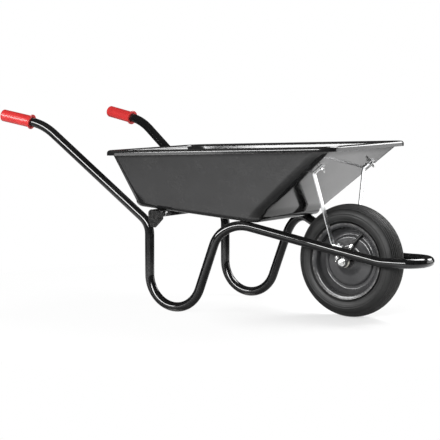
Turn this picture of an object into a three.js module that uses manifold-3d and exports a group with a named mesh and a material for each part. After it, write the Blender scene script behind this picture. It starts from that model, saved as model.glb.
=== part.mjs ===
// Steel wheelbarrow: one bent tube frame, a pressed tray and a pneumatic wheel.
// Millimetres, +X towards the wheel, +Y to the left of a person pushing, +Z up.
// Everything is laid out from the wheel centre line (x = 0, ground at z = 0) and the
// finished model is then shifted along X so that its box is centred on the origin.
import * as THREE from 'three';
import { mergeVertices } from 'three/addons/utils/BufferGeometryUtils.js';
import Module from 'manifold-3d';

const wasm = await Module();
wasm.setup();

// ---- Driving dimensions -------------------------------------------------------------

// Clearances
const GAP = 0.3; // between pieces that touch
const BOLT_CLEARANCE = 0.6; // radial, between a bolt and its hole
const RUNNING_CLEARANCE = 0.6; // radial, between the axle and what turns on it
const TYRE_SIDE_CLEARANCE = 14.7; // from the tyre's side to the axle bracket

// Wheel
const WHEEL_DIAMETER = 380;
const TYRE_WIDTH = 90;
const TYRE_WALL = 6;
const TYRE_GROOVE = 3;
const TYRE_BEAD_DEPTH = 9; // bead inside the rim's flange
const TYRE_BEAD_INSET = 5.5; // bead from the rim's edge
const INNER_TUBE_WALL = 2.5;
const INNER_TUBE_SEAT = 3; // its inside below the top of the rim's flange
const INNER_TUBE_SLACK = 12.8; // between the inner tube's side and the tyre's wall
const RIM_DIAMETER = 256;
const RIM_WIDTH = 77;
const RIM_SHEET = 2;
const RIM_FLANGE_DEPTH = 14;
const RIM_WELL_WIDTH = 22; // from the bead seat to the dish
const RIM_RING_DIAMETER = 194; // flat ring where the two rim halves meet
const RIM_RING_WIDTH = 11;
const RIM_STEP = 8; // dish outside the ring
const RIM_DISH = 21; // where the rim is welded to the hub, from the ring
const HUB_DIAMETER = 40;
const HUB_WALL = 3;
const AXLE_DIAMETER = 12;
const BEARING_DEPTH = 24;
const BEARING_FLANGE = 2.5;
const SPACER_LENGTH = 8;
const SPACER_DIAMETER = 21;

// Frame tube: heights are above the ground or the axle, widths from the middle plane
const TUBE_DIAMETER = 32;
const TUBE_WALL = 1.5;
const GRIP_END_X = -1248;
const GRIP_END_HEIGHT = 660;
const GRIP_END_FLARE = 77; // how far the tube's end stands outside the leg
const GRIP_KNEE_X = -1082;
const GRIP_KNEE_HEIGHT = 629;
const GRIP_KNEE_FLARE = 55;
const GRIP_KNEE_RADIUS = 200;
const HANDLE_SLOPE = 38.4; // degrees below the horizontal
const LEG_X = -662;
const LEG_CLEARANCE = 14; // from the tray floor's edge to the leg's centre line
const LEG_KNEE_RADIUS = 75;
const FOOT_LENGTH = 182; // between the corners of the U bend
const FOOT_FLAT = 1; // straight run between its two arcs
const LEG_RAKE = 20.7; // degrees the rising leg leans forward
const HUMP_RADIUS = 100;
const SIDE_SLOPE = 17; // degrees the side tube falls towards the wheel
const SIDE_RISE = 26; // height above the axle where that slope would reach x = 0
const WHEEL_BEND_X = -78;
const WHEEL_BEND_RADIUS = 170;
const NOSE_RISE = 11; // nose centre line above the axle
const NOSE_REACH = 89; // nose centre line ahead of the tyre
const NOSE_RADIUS = 76;
const NOSE_BEND_X = 150; // where the side tube levels out
const NOSE_BEND_RADIUS = 200;

// Grips
const GRIP_LENGTH = 125;
const GRIP_WALL = 4.6;
const GRIP_FLANGE = 5;

// Tray
const TRAY_SHEET = 1.2;
const TRAY_FLOOR_REAR = -746;
const TRAY_FLOOR_FRONT = -238;
const TRAY_FLOOR_HALF_WIDTH = 222;
const TRAY_FLOOR_CORNER = 38;
const TRAY_FILLET = 18;
const TRAY_FLOOR_SLOPE = 4.1; // degrees the floor falls towards the wheel
const TRAY_DEPTH = 190.5; // at the rear wall
const TRAY_RIM_REAR = -821;
const TRAY_RIM_FRONT = 50;
const TRAY_RIM_HALF_WIDTH = 268;
const TRAY_RIM_CORNER = 50;
const TRAY_RIM_SLOPE = 2.45; // degrees the rim climbs towards the wheel
const TRAY_LIP_RADIUS = 10;
const TRAY_LIP_DROP = 18;

// Rear brace
const BRACE_SHEET = 3;
const BRACE_SETBACK = 8; // rear web ahead of the leg's centre line
const BRACE_DEPTH = 27;
const BRACE_CHANNEL = 18;
const BRACE_FLANGE = 24;
const BRACE_EAR_REACH = 62; // ear's front edge ahead of the leg's centre line
const BRACE_EAR_TOE = 30;
const BRACE_EAR_DROP = 10; // ear's lowest edge below the bend of the leg

// Stays and axle brackets
const STAY_WIDTH = 20;
const STAY_THICKNESS = 4;
const STAY_BEND_RADIUS = 9;
const STAY_TOP_SPREAD = 168; // from the middle plane
const STAY_WALL_DROP = 96; // bolt below the top of the tray's front wall
const STAY_TAB_ABOVE = 12;
const STAY_TAB_BELOW = 34;
const STAY_FOOT_X = -8;
const STAY_FOOT_FRONT = 17;
const STAY_FOOT_REAR = 22;
const BRACKET_PLATE = 4;
const BRACKET_WIDTH = 66;
const BRACKET_LAP = 8; // plate above the tube's centre line
const BRACKET_END_RADIUS = 19;

// Fasteners
const BOLT_DIAMETER = 8;
const BOLT_TAIL = 11; // thread that stands past the nut
const CUP_HEAD_DIAMETER = 19;
const CUP_HEAD_HEIGHT = 4.5;
const NUT_ACROSS_FLATS = 13;
const NUT_HEIGHT = 6.5;
const WASHER_DIAMETER = 17;
const WASHER_THICKNESS = 1.6;
const AXLE_NUT_ACROSS_FLATS = 19;
const AXLE_NUT_HEIGHT = 10;
const AXLE_WASHER_DIAMETER = 26;
const AXLE_TAIL = 3;

// Valve
const VALVE_ANGLE = 62; // degrees round the wheel from +X
const VALVE_ROOT_DEPTH = 5; // stem's foot below the top of the rim's flange
const VALVE_STEM_DIAMETER = 9;
const VALVE_CAP_DIAMETER = 13;
const VALVE_CAP_LENGTH = 18;
const VALVE_CAP_PLACE = { x: 12, y: -26, rise: 50 }; // middle of the cap, from the axle

// ---- Worked-out dimensions ----------------------------------------------------------

const radians = THREE.MathUtils.degToRad;
const tangentOf = (degrees) => Math.tan(radians(degrees));
const sineOf = (degrees) => Math.sin(radians(degrees));
const cosineOf = (degrees) => Math.cos(radians(degrees));

const AXLE_HEIGHT = WHEEL_DIAMETER / 2;
const TUBE_RADIUS = TUBE_DIAMETER / 2;
const AXLE_RADIUS = AXLE_DIAMETER / 2;
const HUB_RADIUS = HUB_DIAMETER / 2;
const BOLT_RADIUS = BOLT_DIAMETER / 2;
const BOLT_HOLE_RADIUS = BOLT_RADIUS + BOLT_CLEARANCE;

// Across the wheel, from the middle plane outwards
const BRACKET_INNER_Y = TYRE_WIDTH / 2 + TYRE_SIDE_CLEARANCE;
const BRACKET_OUTER_Y = BRACKET_INNER_Y + BRACKET_PLATE;
const WHEEL_SIDE_Y = BRACKET_OUTER_Y + GAP + TUBE_RADIUS; // side tube's centre line
const BEARING_OUTER_Y = BRACKET_INNER_Y - SPACER_LENGTH - 2 * GAP;
const HUB_END_Y = BEARING_OUTER_Y - BEARING_FLANGE - GAP;
const AXLE_WASHER_Y = BRACKET_OUTER_Y + GAP;
const AXLE_NUT_Y = AXLE_WASHER_Y + WASHER_THICKNESS + GAP;
const AXLE_END_Y = AXLE_NUT_Y + AXLE_NUT_HEIGHT + AXLE_TAIL;

const LEG_Y = TRAY_FLOOR_HALF_WIDTH + LEG_CLEARANCE;
const FOOT_FRONT_X = LEG_X + FOOT_LENGTH;
const NOSE_X = AXLE_HEIGHT + NOSE_REACH;
const NOSE_HEIGHT = AXLE_HEIGHT + NOSE_RISE;
const SIDE_HEIGHT = AXLE_HEIGHT + SIDE_RISE;
const LEG_KNEE_HEIGHT = GRIP_KNEE_HEIGHT - (LEG_X - GRIP_KNEE_X) * tangentOf(HANDLE_SLOPE);
const WHEEL_BEND_HEIGHT = SIDE_HEIGHT - WHEEL_BEND_X * tangentOf(SIDE_SLOPE);

// The foot is one U bend: both its corners share the largest radius that fits between the legs.
const FOOT_RADIUS = (FOOT_LENGTH - FOOT_FLAT) / (1 + tangentOf((90 - LEG_RAKE) / 2));

// The hump's corner is where the raked leg line meets the sloping side tube line.
const HUMP_X = (FOOT_FRONT_X + (SIDE_HEIGHT - TUBE_RADIUS) * tangentOf(LEG_RAKE))
  / (1 + tangentOf(LEG_RAKE) * tangentOf(SIDE_SLOPE));
const HUMP_HEIGHT = SIDE_HEIGHT - HUMP_X * tangentOf(SIDE_SLOPE);

// ---- Finishes -----------------------------------------------------------------------

const FINISHES = {
  framePaint: { color: 0x0c0c0d, roughness: 0.25, metalness: 0.1 },
  trayPaint: { color: 0x3a3a3b, roughness: 0.3, metalness: 0.1 },
  rimPaint: { color: 0x2a2a2b, roughness: 0.3, metalness: 0.2 },
  galvanised: { color: 0xd8dadc, roughness: 0.35, metalness: 0.9 },
  zinc: { color: 0xcfd2d6, roughness: 0.3, metalness: 0.95 },
  grip: { color: 0xb42a2a, roughness: 0.5, metalness: 0 },
  tyre: { color: 0x1e1e1f, roughness: 0.85, metalness: 0 },
  innerTube: { color: 0x151515, roughness: 0.7, metalness: 0 },
  nylon: { color: 0xdedbd0, roughness: 0.5, metalness: 0 },
};

// ---- Helpers ------------------------------------------------------------------------

const wheelbarrow = new THREE.Group();

/** Adds one named piece with a material of its own. */
function addPiece(name, geometry, finish) {
  const mesh = new THREE.Mesh(geometry, new THREE.MeshStandardMaterial(FINISHES[finish]));
  mesh.name = name;
  wheelbarrow.add(mesh);
}

/** Calls build(side, name) for the right side (-Y) and the left side (+Y). */
function forEachSide(build) {
  build(-1, 'right');
  build(1, 'left');
}

function toSolid(geometry) {
  const bare = geometry.clone();
  bare.deleteAttribute('normal');
  bare.deleteAttribute('uv');
  const merged = mergeVertices(bare, 1e-4);
  const vertProperties = new Float32Array(merged.attributes.position.array);
  const triVerts = new Uint32Array(merged.index.array);
  return new wasm.Manifold(new wasm.Mesh({ numProp: 3, vertProperties, triVerts }));
}

function toGeometry(solid) {
  const mesh = solid.getMesh();
  const geometry = new THREE.BufferGeometry();
  geometry.setAttribute('position', new THREE.BufferAttribute(mesh.vertProperties, 3));
  geometry.setIndex(new THREE.BufferAttribute(mesh.triVerts, 1));
  geometry.computeVertexNormals();
  return geometry;
}

function join(...geometries) {
  return toGeometry(geometries.map(toSolid).reduce((whole, piece) => whole.add(piece)));
}

function cut(geometry, ...tools) {
  return toGeometry(tools.map(toSolid).reduce((whole, tool) => whole.subtract(tool), toSolid(geometry)));
}

/** Turns a shape that stands on the XY plane so that its +Z follows axis, and moves it to origin. */
function placed(geometry, origin, axis = new THREE.Vector3(0, 0, 1)) {
  const upright = new THREE.Vector3(0, 0, 1);
  const turn = new THREE.Quaternion().setFromUnitVectors(upright, axis.clone().normalize());
  return geometry.applyQuaternion(turn).translate(origin.x, origin.y, origin.z);
}

/** Cylinder along +Z from z = 0. */
function rod(radius, length, sides = 12) {
  const cylinder = new THREE.CylinderGeometry(radius, radius, length, sides);
  return cylinder.rotateX(Math.PI / 2).translate(0, 0, length / 2);
}

/** Solid of revolution about +Z from [radius, z] points that start and end on the axis or close. */
function turned(points, sides) {
  const outline = points.map(([radius, z]) => new THREE.Vector2(radius, z));
  return new THREE.LatheGeometry(outline, sides).rotateX(Math.PI / 2);
}

/** Flat plate in the XY plane with round holes, extruded along +Z. */
function plate(outline, thickness, holes = [], curveSegments = 6) {
  for (const { x, y, radius } of holes) {
    outline.holes.push(new THREE.Path().absarc(x, y, radius, 0, 2 * Math.PI));
  }
  return new THREE.ExtrudeGeometry(outline, { depth: thickness, bevelEnabled: false, curveSegments });
}

function circle(radius) {
  return new THREE.Shape().absarc(0, 0, radius, 0, 2 * Math.PI);
}

function hexagon(acrossFlats) {
  const corner = acrossFlats / 2 / cosineOf(30);
  const angles = [0, 60, 120, 180, 240, 300];
  return new THREE.Shape(angles.map((a) => new THREE.Vector2(corner * cosineOf(a), corner * sineOf(a))));
}

function nut(acrossFlats, height, boltRadius) {
  return plate(hexagon(acrossFlats), height, [{ x: 0, y: 0, radius: boltRadius + GAP }]);
}

function washer(outerRadius, thickness, boltRadius) {
  return plate(circle(outerRadius), thickness, [{ x: 0, y: 0, radius: boltRadius + GAP }]);
}

/** Round-headed bolt: the head's underside is z = 0 and the shank runs down -Z. */
function cupBolt(shankLength) {
  const dome = [0, 30, 60].map((angle) => (
    [(CUP_HEAD_DIAMETER / 2) * cosineOf(angle), CUP_HEAD_HEIGHT * sineOf(angle)]
  ));
  return turned([
    [0, -shankLength],
    [BOLT_RADIUS, -shankLength],
    [BOLT_RADIUS, 0],
    ...dome,
    [0, CUP_HEAD_HEIGHT],
  ], 12);
}

/** Closed band of constant thickness round a bent sheet drawn as [radius, z] points. */
function sheetOutline(points, thickness) {
  const line = points.map(([radius, z]) => new THREE.Vector2(radius, z));
  const offset = (side) => line.map((point, i) => {
    const before = line[Math.max(i - 1, 0)];
    const after = line[Math.min(i + 1, line.length - 1)];
    const inward = point.clone().sub(before).normalize();
    const outward = after.clone().sub(point).normalize();
    const along = inward.clone().add(outward).normalize();
    const stretch = 1 / Math.max(along.dot(i === 0 ? outward : inward), 0.5);
    return [point.x - side * along.y * stretch, point.y + side * along.x * stretch];
  });
  const half = thickness / 2;
  const near = offset(-half);
  return [...near, ...offset(half).reverse(), near[0]];
}

/** Skins a row of closed loops that all have the same number of points, and caps both ends. */
function loft(loops) {
  const count = loops[0].length;
  const centre = (loop) => loop.reduce((sum, p) => sum.add(p), new THREE.Vector3()).divideScalar(count);
  const points = [...loops.flat(), centre(loops[0]), centre(loops[loops.length - 1])];
  const index = [];
  const firstCentre = loops.length * count;
  for (let i = 0; i < count; i += 1) {
    const next = (i + 1) % count;
    for (let row = 0; row < loops.length - 1; row += 1) {
      const low = row * count;
      const high = low + count;
      index.push(low + i, low + next, high + next, low + i, high + next, high + i);
    }
    const last = (loops.length - 1) * count;
    index.push(firstCentre, next, i, firstCentre + 1, last + i, last + next);
  }
  const geometry = new THREE.BufferGeometry();
  geometry.setAttribute('position', new THREE.Float32BufferAttribute(points.flatMap((p) => p.toArray()), 3));
  geometry.setIndex(index);
  geometry.computeVertexNormals();
  return geometry;
}

/** Straight runs joined by arcs, sampled at the arc steps only. */
class BentCentreline extends THREE.Curve {
  constructor(corners, arcStep = 18) {
    super();
    this.stations = [];
    this.tangents = [];
    const direction = (from, to) => to.point.clone().sub(from.point).normalize();
    this.addStation(corners[0].point, direction(corners[0], corners[1]));
    for (let i = 1; i < corners.length - 1; i += 1) {
      const incoming = direction(corners[i - 1], corners[i]);
      const outgoing = direction(corners[i], corners[i + 1]);
      this.addArc(corners[i], incoming, outgoing, THREE.MathUtils.degToRad(arcStep));
    }
    const end = corners.length - 1;
    this.addStation(corners[end].point, direction(corners[end - 1], corners[end]));
  }

  addStation(point, tangent) {
    this.stations.push(point.clone());
    this.tangents.push(tangent.clone());
  }

  addArc({ point, radius }, incoming, outgoing, arcStep) {
    const turn = incoming.angleTo(outgoing);
    const axis = incoming.clone().cross(outgoing).normalize();
    const start = point.clone().addScaledVector(incoming, -radius * Math.tan(turn / 2));
    const toCentre = axis.clone().cross(incoming);
    const centre = start.clone().addScaledVector(toCentre, radius);
    const steps = Math.max(2, Math.ceil(turn / arcStep));
    for (let step = 0; step <= steps; step += 1) {
      const angle = (turn * step) / steps;
      const spoke = toCentre.clone().negate().applyAxisAngle(axis, angle).multiplyScalar(radius);
      this.addStation(centre.clone().add(spoke), incoming.clone().applyAxisAngle(axis, angle));
    }
  }

  getPoint(t) {
    const place = t * (this.stations.length - 1);
    const before = Math.min(Math.floor(place), this.stations.length - 2);
    return this.stations[before].clone().lerp(this.stations[before + 1], place - before);
  }

  getSpacedPoints() {
    return this.stations.map((station) => station.clone());
  }

  getTangentAt(u) {
    return this.tangents[Math.round(u * (this.stations.length - 1))].clone();
  }
}

// ---- Frame --------------------------------------------------------------------------

/** Corners of the frame's centre line from one grip to the middle of the nose. */
function frameCorners(side) {
  const corner = (x, y, z, radius = 0) => ({ point: new THREE.Vector3(x, side * y, z), radius });
  return [
    corner(GRIP_END_X, LEG_Y + GRIP_END_FLARE, GRIP_END_HEIGHT),
    corner(GRIP_KNEE_X, LEG_Y + GRIP_KNEE_FLARE, GRIP_KNEE_HEIGHT, GRIP_KNEE_RADIUS),
    corner(LEG_X, LEG_Y, LEG_KNEE_HEIGHT, LEG_KNEE_RADIUS),
    corner(LEG_X, LEG_Y, TUBE_RADIUS, FOOT_RADIUS),
    corner(FOOT_FRONT_X, LEG_Y, TUBE_RADIUS, FOOT_RADIUS),
    corner(HUMP_X, LEG_Y, HUMP_HEIGHT, HUMP_RADIUS),
    corner(WHEEL_BEND_X, WHEEL_SIDE_Y, WHEEL_BEND_HEIGHT, WHEEL_BEND_RADIUS),
    corner(NOSE_BEND_X, WHEEL_SIDE_Y, NOSE_HEIGHT, NOSE_BEND_RADIUS),
    corner(NOSE_X, WHEEL_SIDE_Y, NOSE_HEIGHT, NOSE_RADIUS),
  ];
}

const FRAME_LINE = new BentCentreline([...frameCorners(-1), ...frameCorners(1).reverse()]);

// The tray floor is a sloping plane that rests on the highest bends of the frame beneath it.
const TRAY_FALL = tangentOf(TRAY_FLOOR_SLOPE);
const isUnderTray = ({ x, y }) => (
  x > TRAY_FLOOR_REAR && x < TRAY_FLOOR_FRONT && Math.abs(y) < TRAY_FLOOR_HALF_WIDTH
);

/** How far the fillet lifts the sheet above the floor's plane at a distance from the middle plane. */
function filletLift(y) {
  const radius = TRAY_FILLET + TRAY_SHEET;
  const run = Math.max(Math.abs(y) - (TRAY_FLOOR_HALF_WIDTH - TRAY_FILLET), 0);
  return radius - Math.sqrt(radius * radius - run * run);
}

const REST_SAMPLES = 20 * FRAME_LINE.stations.length;
const REST_HEIGHT = TUBE_RADIUS / cosineOf(TRAY_FLOOR_SLOPE) + Math.max(
  ...FRAME_LINE.getPoints(REST_SAMPLES)
    .filter(isUnderTray)
    .map(({ x, y, z }) => z + x * TRAY_FALL - filletLift(y)),
);
const floorUnderside = (x) => REST_HEIGHT + GAP - x * TRAY_FALL;
const floorTop = (x) => floorUnderside(x) + TRAY_SHEET;
const rimHeight = (x) => floorTop(TRAY_FLOOR_REAR) + TRAY_DEPTH
  + (x - TRAY_RIM_REAR) * tangentOf(TRAY_RIM_SLOPE);
const BRACE_BOLT_X = LEG_X + BRACE_SETBACK + BRACE_CHANNEL + BRACE_FLANGE / 2;
const BRACE_BOLT_Y = TRAY_FLOOR_HALF_WIDTH - TRAY_FILLET - CUP_HEAD_DIAMETER / 2;

const TUBE_SIDES = 12;

/** Sweeps a round section along the frame's centre line, solid or with a bore. */
function frameSweep(radius, boreRadius = 0) {
  const section = circle(radius);
  if (boreRadius > 0) {
    section.holes.push(new THREE.Path().absarc(0, 0, boreRadius, 0, 2 * Math.PI));
  }
  return new THREE.ExtrudeGeometry(section, {
    steps: FRAME_LINE.stations.length - 1,
    extrudePath: FRAME_LINE,
    curveSegments: TUBE_SIDES / 2,
  });
}

/** The side tube beside the wheel: a point on its centre line, its direction and its upward normal. */
function sideTubeAt(x, side) {
  const fall = (NOSE_HEIGHT - WHEEL_BEND_HEIGHT) / (NOSE_BEND_X - WHEEL_BEND_X);
  const along = new THREE.Vector3(1, 0, fall).normalize();
  const up = new THREE.Vector3(-along.z, 0, along.x);
  const centre = new THREE.Vector3(x, side * WHEEL_SIDE_Y, WHEEL_BEND_HEIGHT + (x - WHEEL_BEND_X) * fall);
  return { centre, along, up };
}

/** The outer face of the tray's front wall: its top edge, its upward direction and its outward normal. */
function frontWall() {
  const foot = new THREE.Vector3(TRAY_FLOOR_FRONT + TRAY_SHEET, 0, floorTop(TRAY_FLOOR_FRONT) + TRAY_FILLET);
  const top = new THREE.Vector3(TRAY_RIM_FRONT + TRAY_SHEET, 0, rimHeight(TRAY_RIM_FRONT) - TRAY_LIP_RADIUS);
  const up = top.clone().sub(foot).normalize();
  const out = new THREE.Vector3(up.z, 0, -up.x);
  return { top, up, out };
}

/** Where each bolt sits, its direction from head to tail, and the thickness it clamps. */
function boltPlaces(side) {
  const down = new THREE.Vector3(-sineOf(TRAY_FLOOR_SLOPE), 0, -cosineOf(TRAY_FLOOR_SLOPE));
  const wall = frontWall();
  const wallThickness = TRAY_SHEET * wall.out.x;
  const tube = sideTubeAt(STAY_FOOT_X, side);
  return {
    brace: {
      seat: new THREE.Vector3(BRACE_BOLT_X, side * BRACE_BOLT_Y, floorTop(BRACE_BOLT_X)),
      down,
      grip: TRAY_SHEET + GAP + BRACE_SHEET,
    },
    stayTop: {
      seat: wall.top.clone().addScaledVector(wall.up, -STAY_WALL_DROP)
        .addScaledVector(wall.out, -wallThickness).setY(side * STAY_TOP_SPREAD),
      down: wall.out,
      grip: wallThickness + GAP + STAY_THICKNESS,
    },
    stayFoot: {
      seat: tube.centre.clone().addScaledVector(tube.up, TUBE_RADIUS + GAP + STAY_THICKNESS),
      down: tube.up.clone().negate(),
      grip: STAY_THICKNESS + GAP + TUBE_DIAMETER,
    },
  };
}

/** A rod through the middle of a bolt, as wide as its hole. */
function boltHole({ seat, down, grip }) {
  const start = seat.clone().addScaledVector(down, -grip);
  return placed(rod(BOLT_HOLE_RADIUS, 3 * grip), start, down);
}

function addFrameTube() {
  const holes = [-1, 1].map((side) => boltHole(boltPlaces(side).stayFoot));
  addPiece('frame_tube', cut(frameSweep(TUBE_RADIUS, TUBE_RADIUS - TUBE_WALL), ...holes), 'framePaint');
}

function addGrip(side, name) {
  const [end, knee] = frameCorners(side).map((corner) => corner.point);
  const along = knee.clone().sub(end).normalize();
  const inner = TUBE_RADIUS + 2 * GAP;
  const outer = inner + GRIP_WALL;
  const flange = outer + GRIP_FLANGE;
  const shape = turned([
    [0, 0],
    [0.8 * outer, 0],
    [outer, 0.2 * outer],
    [outer, GRIP_LENGTH - GRIP_FLANGE],
    [flange, GRIP_LENGTH - GRIP_FLANGE],
    [flange, GRIP_LENGTH],
    [inner, GRIP_LENGTH],
    [inner, GRIP_WALL],
    [0, GRIP_WALL],
  ], 16);
  const start = end.clone().addScaledVector(along, -GRIP_WALL - GAP);
  addPiece(`grip_${name}`, placed(shape, start, along), 'grip');
}

/** Plate in a vertical fore-and-aft plane, from an outline in X and Z, between two Y values. */
function acrossY(outline, lowY, highY, holes = []) {
  return plate(outline, highY - lowY, holes).rotateX(Math.PI / 2).translate(0, highY, 0);
}

function shapeOf(points) {
  return new THREE.Shape(points.map(([x, z]) => new THREE.Vector2(x, z)));
}

/** Pressed cross member under the tray: a channel with a bolting flange, and an ear on each leg. */
function addRearBrace() {
  const rear = LEG_X + BRACE_SETBACK;
  const top = floorUnderside(rear) - GAP;
  const onBrace = (x, drop) => [rear + x, top - x * TRAY_FALL - drop];
  const front = BRACE_CHANNEL + BRACE_FLANGE;
  const earY = LEG_Y + TUBE_RADIUS / 2;
  const section = shapeOf([
    onBrace(0, 0),
    onBrace(front, 0),
    onBrace(front, BRACE_SHEET),
    onBrace(BRACE_CHANNEL, BRACE_SHEET),
    onBrace(BRACE_CHANNEL, BRACE_DEPTH),
    onBrace(BRACE_CHANNEL - BRACE_SHEET, BRACE_DEPTH),
    onBrace(BRACE_CHANNEL - BRACE_SHEET, BRACE_SHEET),
    onBrace(BRACE_SHEET, BRACE_SHEET),
    onBrace(BRACE_SHEET, BRACE_DEPTH),
    onBrace(0, BRACE_DEPTH),
  ]);
  const toeDrop = top - LEG_KNEE_HEIGHT + BRACE_EAR_DROP;
  const ear = shapeOf([
    onBrace(0, 0),
    onBrace(BRACE_EAR_REACH - BRACE_SETBACK, 0),
    onBrace(BRACE_EAR_REACH - BRACE_SETBACK, BRACE_DEPTH),
    onBrace(BRACE_EAR_TOE - BRACE_SETBACK, toeDrop),
    onBrace(-BRACE_SETBACK, toeDrop),
    onBrace(-BRACE_SETBACK, BRACE_DEPTH / 3),
  ]);
  const whole = join(
    acrossY(section, -earY, earY),
    acrossY(ear, earY - BRACE_SHEET, earY),
    acrossY(ear, -earY, BRACE_SHEET - earY),
  );
  const holes = [-1, 1].map((side) => boltHole(boltPlaces(side).brace));
  addPiece('rear_brace', cut(whole, frameSweep(TUBE_RADIUS + GAP), ...holes), 'framePaint');
}

/** Flat bar bent along a centre line, with its width always along Y. */
function bentBar(line, width, thickness) {
  const widthways = new THREE.Vector3(0, width / 2, 0);
  return loft(line.stations.map((station, i) => {
    const through = line.tangents[i].clone().cross(widthways).normalize().multiplyScalar(thickness / 2);
    return [[1, 1], [-1, 1], [-1, -1], [1, -1]].map(([a, b]) => (
      station.clone().addScaledVector(widthways, a).addScaledVector(through, b)
    ));
  }));
}

/** Flat stay from the tray's front wall down to the top of the side tube. */
function addStay(side, name) {
  const wall = frontWall();
  const wallBolt = wall.top.clone().addScaledVector(wall.up, -STAY_WALL_DROP)
    .addScaledVector(wall.out, GAP + STAY_THICKNESS / 2).setY(side * STAY_TOP_SPREAD);
  const tube = sideTubeAt(STAY_FOOT_X, side);
  const footBolt = tube.centre.clone().addScaledVector(tube.up, TUBE_RADIUS + GAP + STAY_THICKNESS / 2);
  const line = new BentCentreline([
    { point: wallBolt.clone().addScaledVector(wall.up, STAY_TAB_ABOVE) },
    { point: wallBolt.clone().addScaledVector(wall.up, -STAY_TAB_BELOW), radius: STAY_BEND_RADIUS },
    { point: footBolt.clone().addScaledVector(tube.along, -STAY_FOOT_REAR), radius: STAY_BEND_RADIUS },
    { point: footBolt.clone().addScaledVector(tube.along, STAY_FOOT_FRONT) },
  ], 30);
  const { stayTop, stayFoot } = boltPlaces(side);
  const bar = cut(bentBar(line, STAY_WIDTH, STAY_THICKNESS), boltHole(stayTop), boltHole(stayFoot));
  addPiece(`stay_${name}`, bar, 'galvanised');
}

/** Plate welded to the inside of the side tube, with the axle through its rounded end. */
function addAxleBracket(side, name) {
  const top = sideTubeAt(BRACKET_WIDTH / 2, side).centre.z + BRACKET_LAP;
  const shoulder = sideTubeAt(0, side).centre.z - TUBE_RADIUS;
  const outline = new THREE.Shape()
    .moveTo(-BRACKET_WIDTH / 2, top)
    .lineTo(-BRACKET_WIDTH / 2, shoulder)
    .absarc(0, AXLE_HEIGHT, BRACKET_END_RADIUS, Math.PI, 2 * Math.PI)
    .lineTo(BRACKET_WIDTH / 2, shoulder)
    .lineTo(BRACKET_WIDTH / 2, top);
  const near = side * BRACKET_INNER_Y;
  const far = side * BRACKET_OUTER_Y;
  const hole = { x: 0, y: AXLE_HEIGHT, radius: AXLE_RADIUS + GAP };
  const shape = acrossY(outline, Math.min(near, far), Math.max(near, far), [hole]);
  addPiece(`axle_bracket_${name}`, shape, 'framePaint');
}

/** A point on the axle's line and the direction away from the middle plane. */
function onAxle(side, y) {
  return [new THREE.Vector3(0, side * y, AXLE_HEIGHT), new THREE.Vector3(0, side, 0)];
}

function addAxleGroup() {
  const length = 2 * AXLE_END_Y;
  addPiece('axle', placed(rod(AXLE_RADIUS, length, 20), ...onAxle(1, -AXLE_END_Y)), 'zinc');
  forEachSide((side, name) => {
    const spacer = washer(SPACER_DIAMETER / 2, SPACER_LENGTH, AXLE_RADIUS);
    const nutShape = nut(AXLE_NUT_ACROSS_FLATS, AXLE_NUT_HEIGHT, AXLE_RADIUS);
    const washerShape = washer(AXLE_WASHER_DIAMETER / 2, WASHER_THICKNESS, AXLE_RADIUS);
    addPiece(`axle_spacer_${name}`, placed(spacer, ...onAxle(side, BEARING_OUTER_Y + GAP)), 'zinc');
    addPiece(`axle_washer_${name}`, placed(washerShape, ...onAxle(side, AXLE_WASHER_Y)), 'zinc');
    addPiece(`axle_nut_${name}`, placed(nutShape, ...onAxle(side, AXLE_NUT_Y)), 'zinc');
  });
}

// ---- Tray ---------------------------------------------------------------------------

const LOOP_CORNER_STEPS = 5;

/** Rounded rectangle seen from above, whose height follows heightAt(x). */
function roundedLoop(rear, front, halfWidth, cornerRadius, heightAt) {
  const corners = [
    [front - cornerRadius, halfWidth - cornerRadius, 0],
    [rear + cornerRadius, halfWidth - cornerRadius, 90],
    [rear + cornerRadius, cornerRadius - halfWidth, 180],
    [front - cornerRadius, cornerRadius - halfWidth, 270],
  ];
  return corners.flatMap(([x, y, start]) => (
    Array.from({ length: LOOP_CORNER_STEPS + 1 }, (_, step) => {
      const angle = start + (90 * step) / LOOP_CORNER_STEPS;
      const px = x + cornerRadius * cosineOf(angle);
      return new THREE.Vector3(px, y + cornerRadius * sineOf(angle), heightAt(px));
    })
  ));
}

/** Loop that follows the floor's outline, grown by grow and raised above the floor. */
function floorLoop(grow, rise) {
  return roundedLoop(
    TRAY_FLOOR_REAR - grow,
    TRAY_FLOOR_FRONT + grow,
    TRAY_FLOOR_HALF_WIDTH + grow,
    TRAY_FLOOR_CORNER + grow,
    (x) => floorTop(x) + rise,
  );
}

/** Loop that follows the top edge of the inner walls, grown by grow and raised above the rim. */
function rimLoop(grow, rise) {
  return roundedLoop(
    TRAY_RIM_REAR - grow,
    TRAY_RIM_FRONT + grow,
    TRAY_RIM_HALF_WIDTH + grow,
    TRAY_RIM_CORNER + grow,
    (x) => rimHeight(x) + rise,
  );
}

/** The fillet between floor and wall, from the floor outwards. */
function filletLoops(extra) {
  return [0, 30, 60, 90].map((angle) => {
    const radius = TRAY_FILLET + extra;
    return floorLoop(radius * sineOf(angle) - TRAY_FILLET, TRAY_FILLET - radius * cosineOf(angle));
  });
}

/** The rolled lip, from the wall over the top and down its outer edge. */
function lipLoops(inset) {
  const radius = TRAY_LIP_RADIUS - inset;
  const roll = [180, 135, 90, 45, 0].map((angle) => (
    rimLoop(TRAY_LIP_RADIUS + radius * cosineOf(angle), radius * sineOf(angle) - TRAY_LIP_RADIUS)
  ));
  return [...roll, rimLoop(TRAY_LIP_RADIUS + radius, -TRAY_LIP_DROP)];
}

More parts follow.
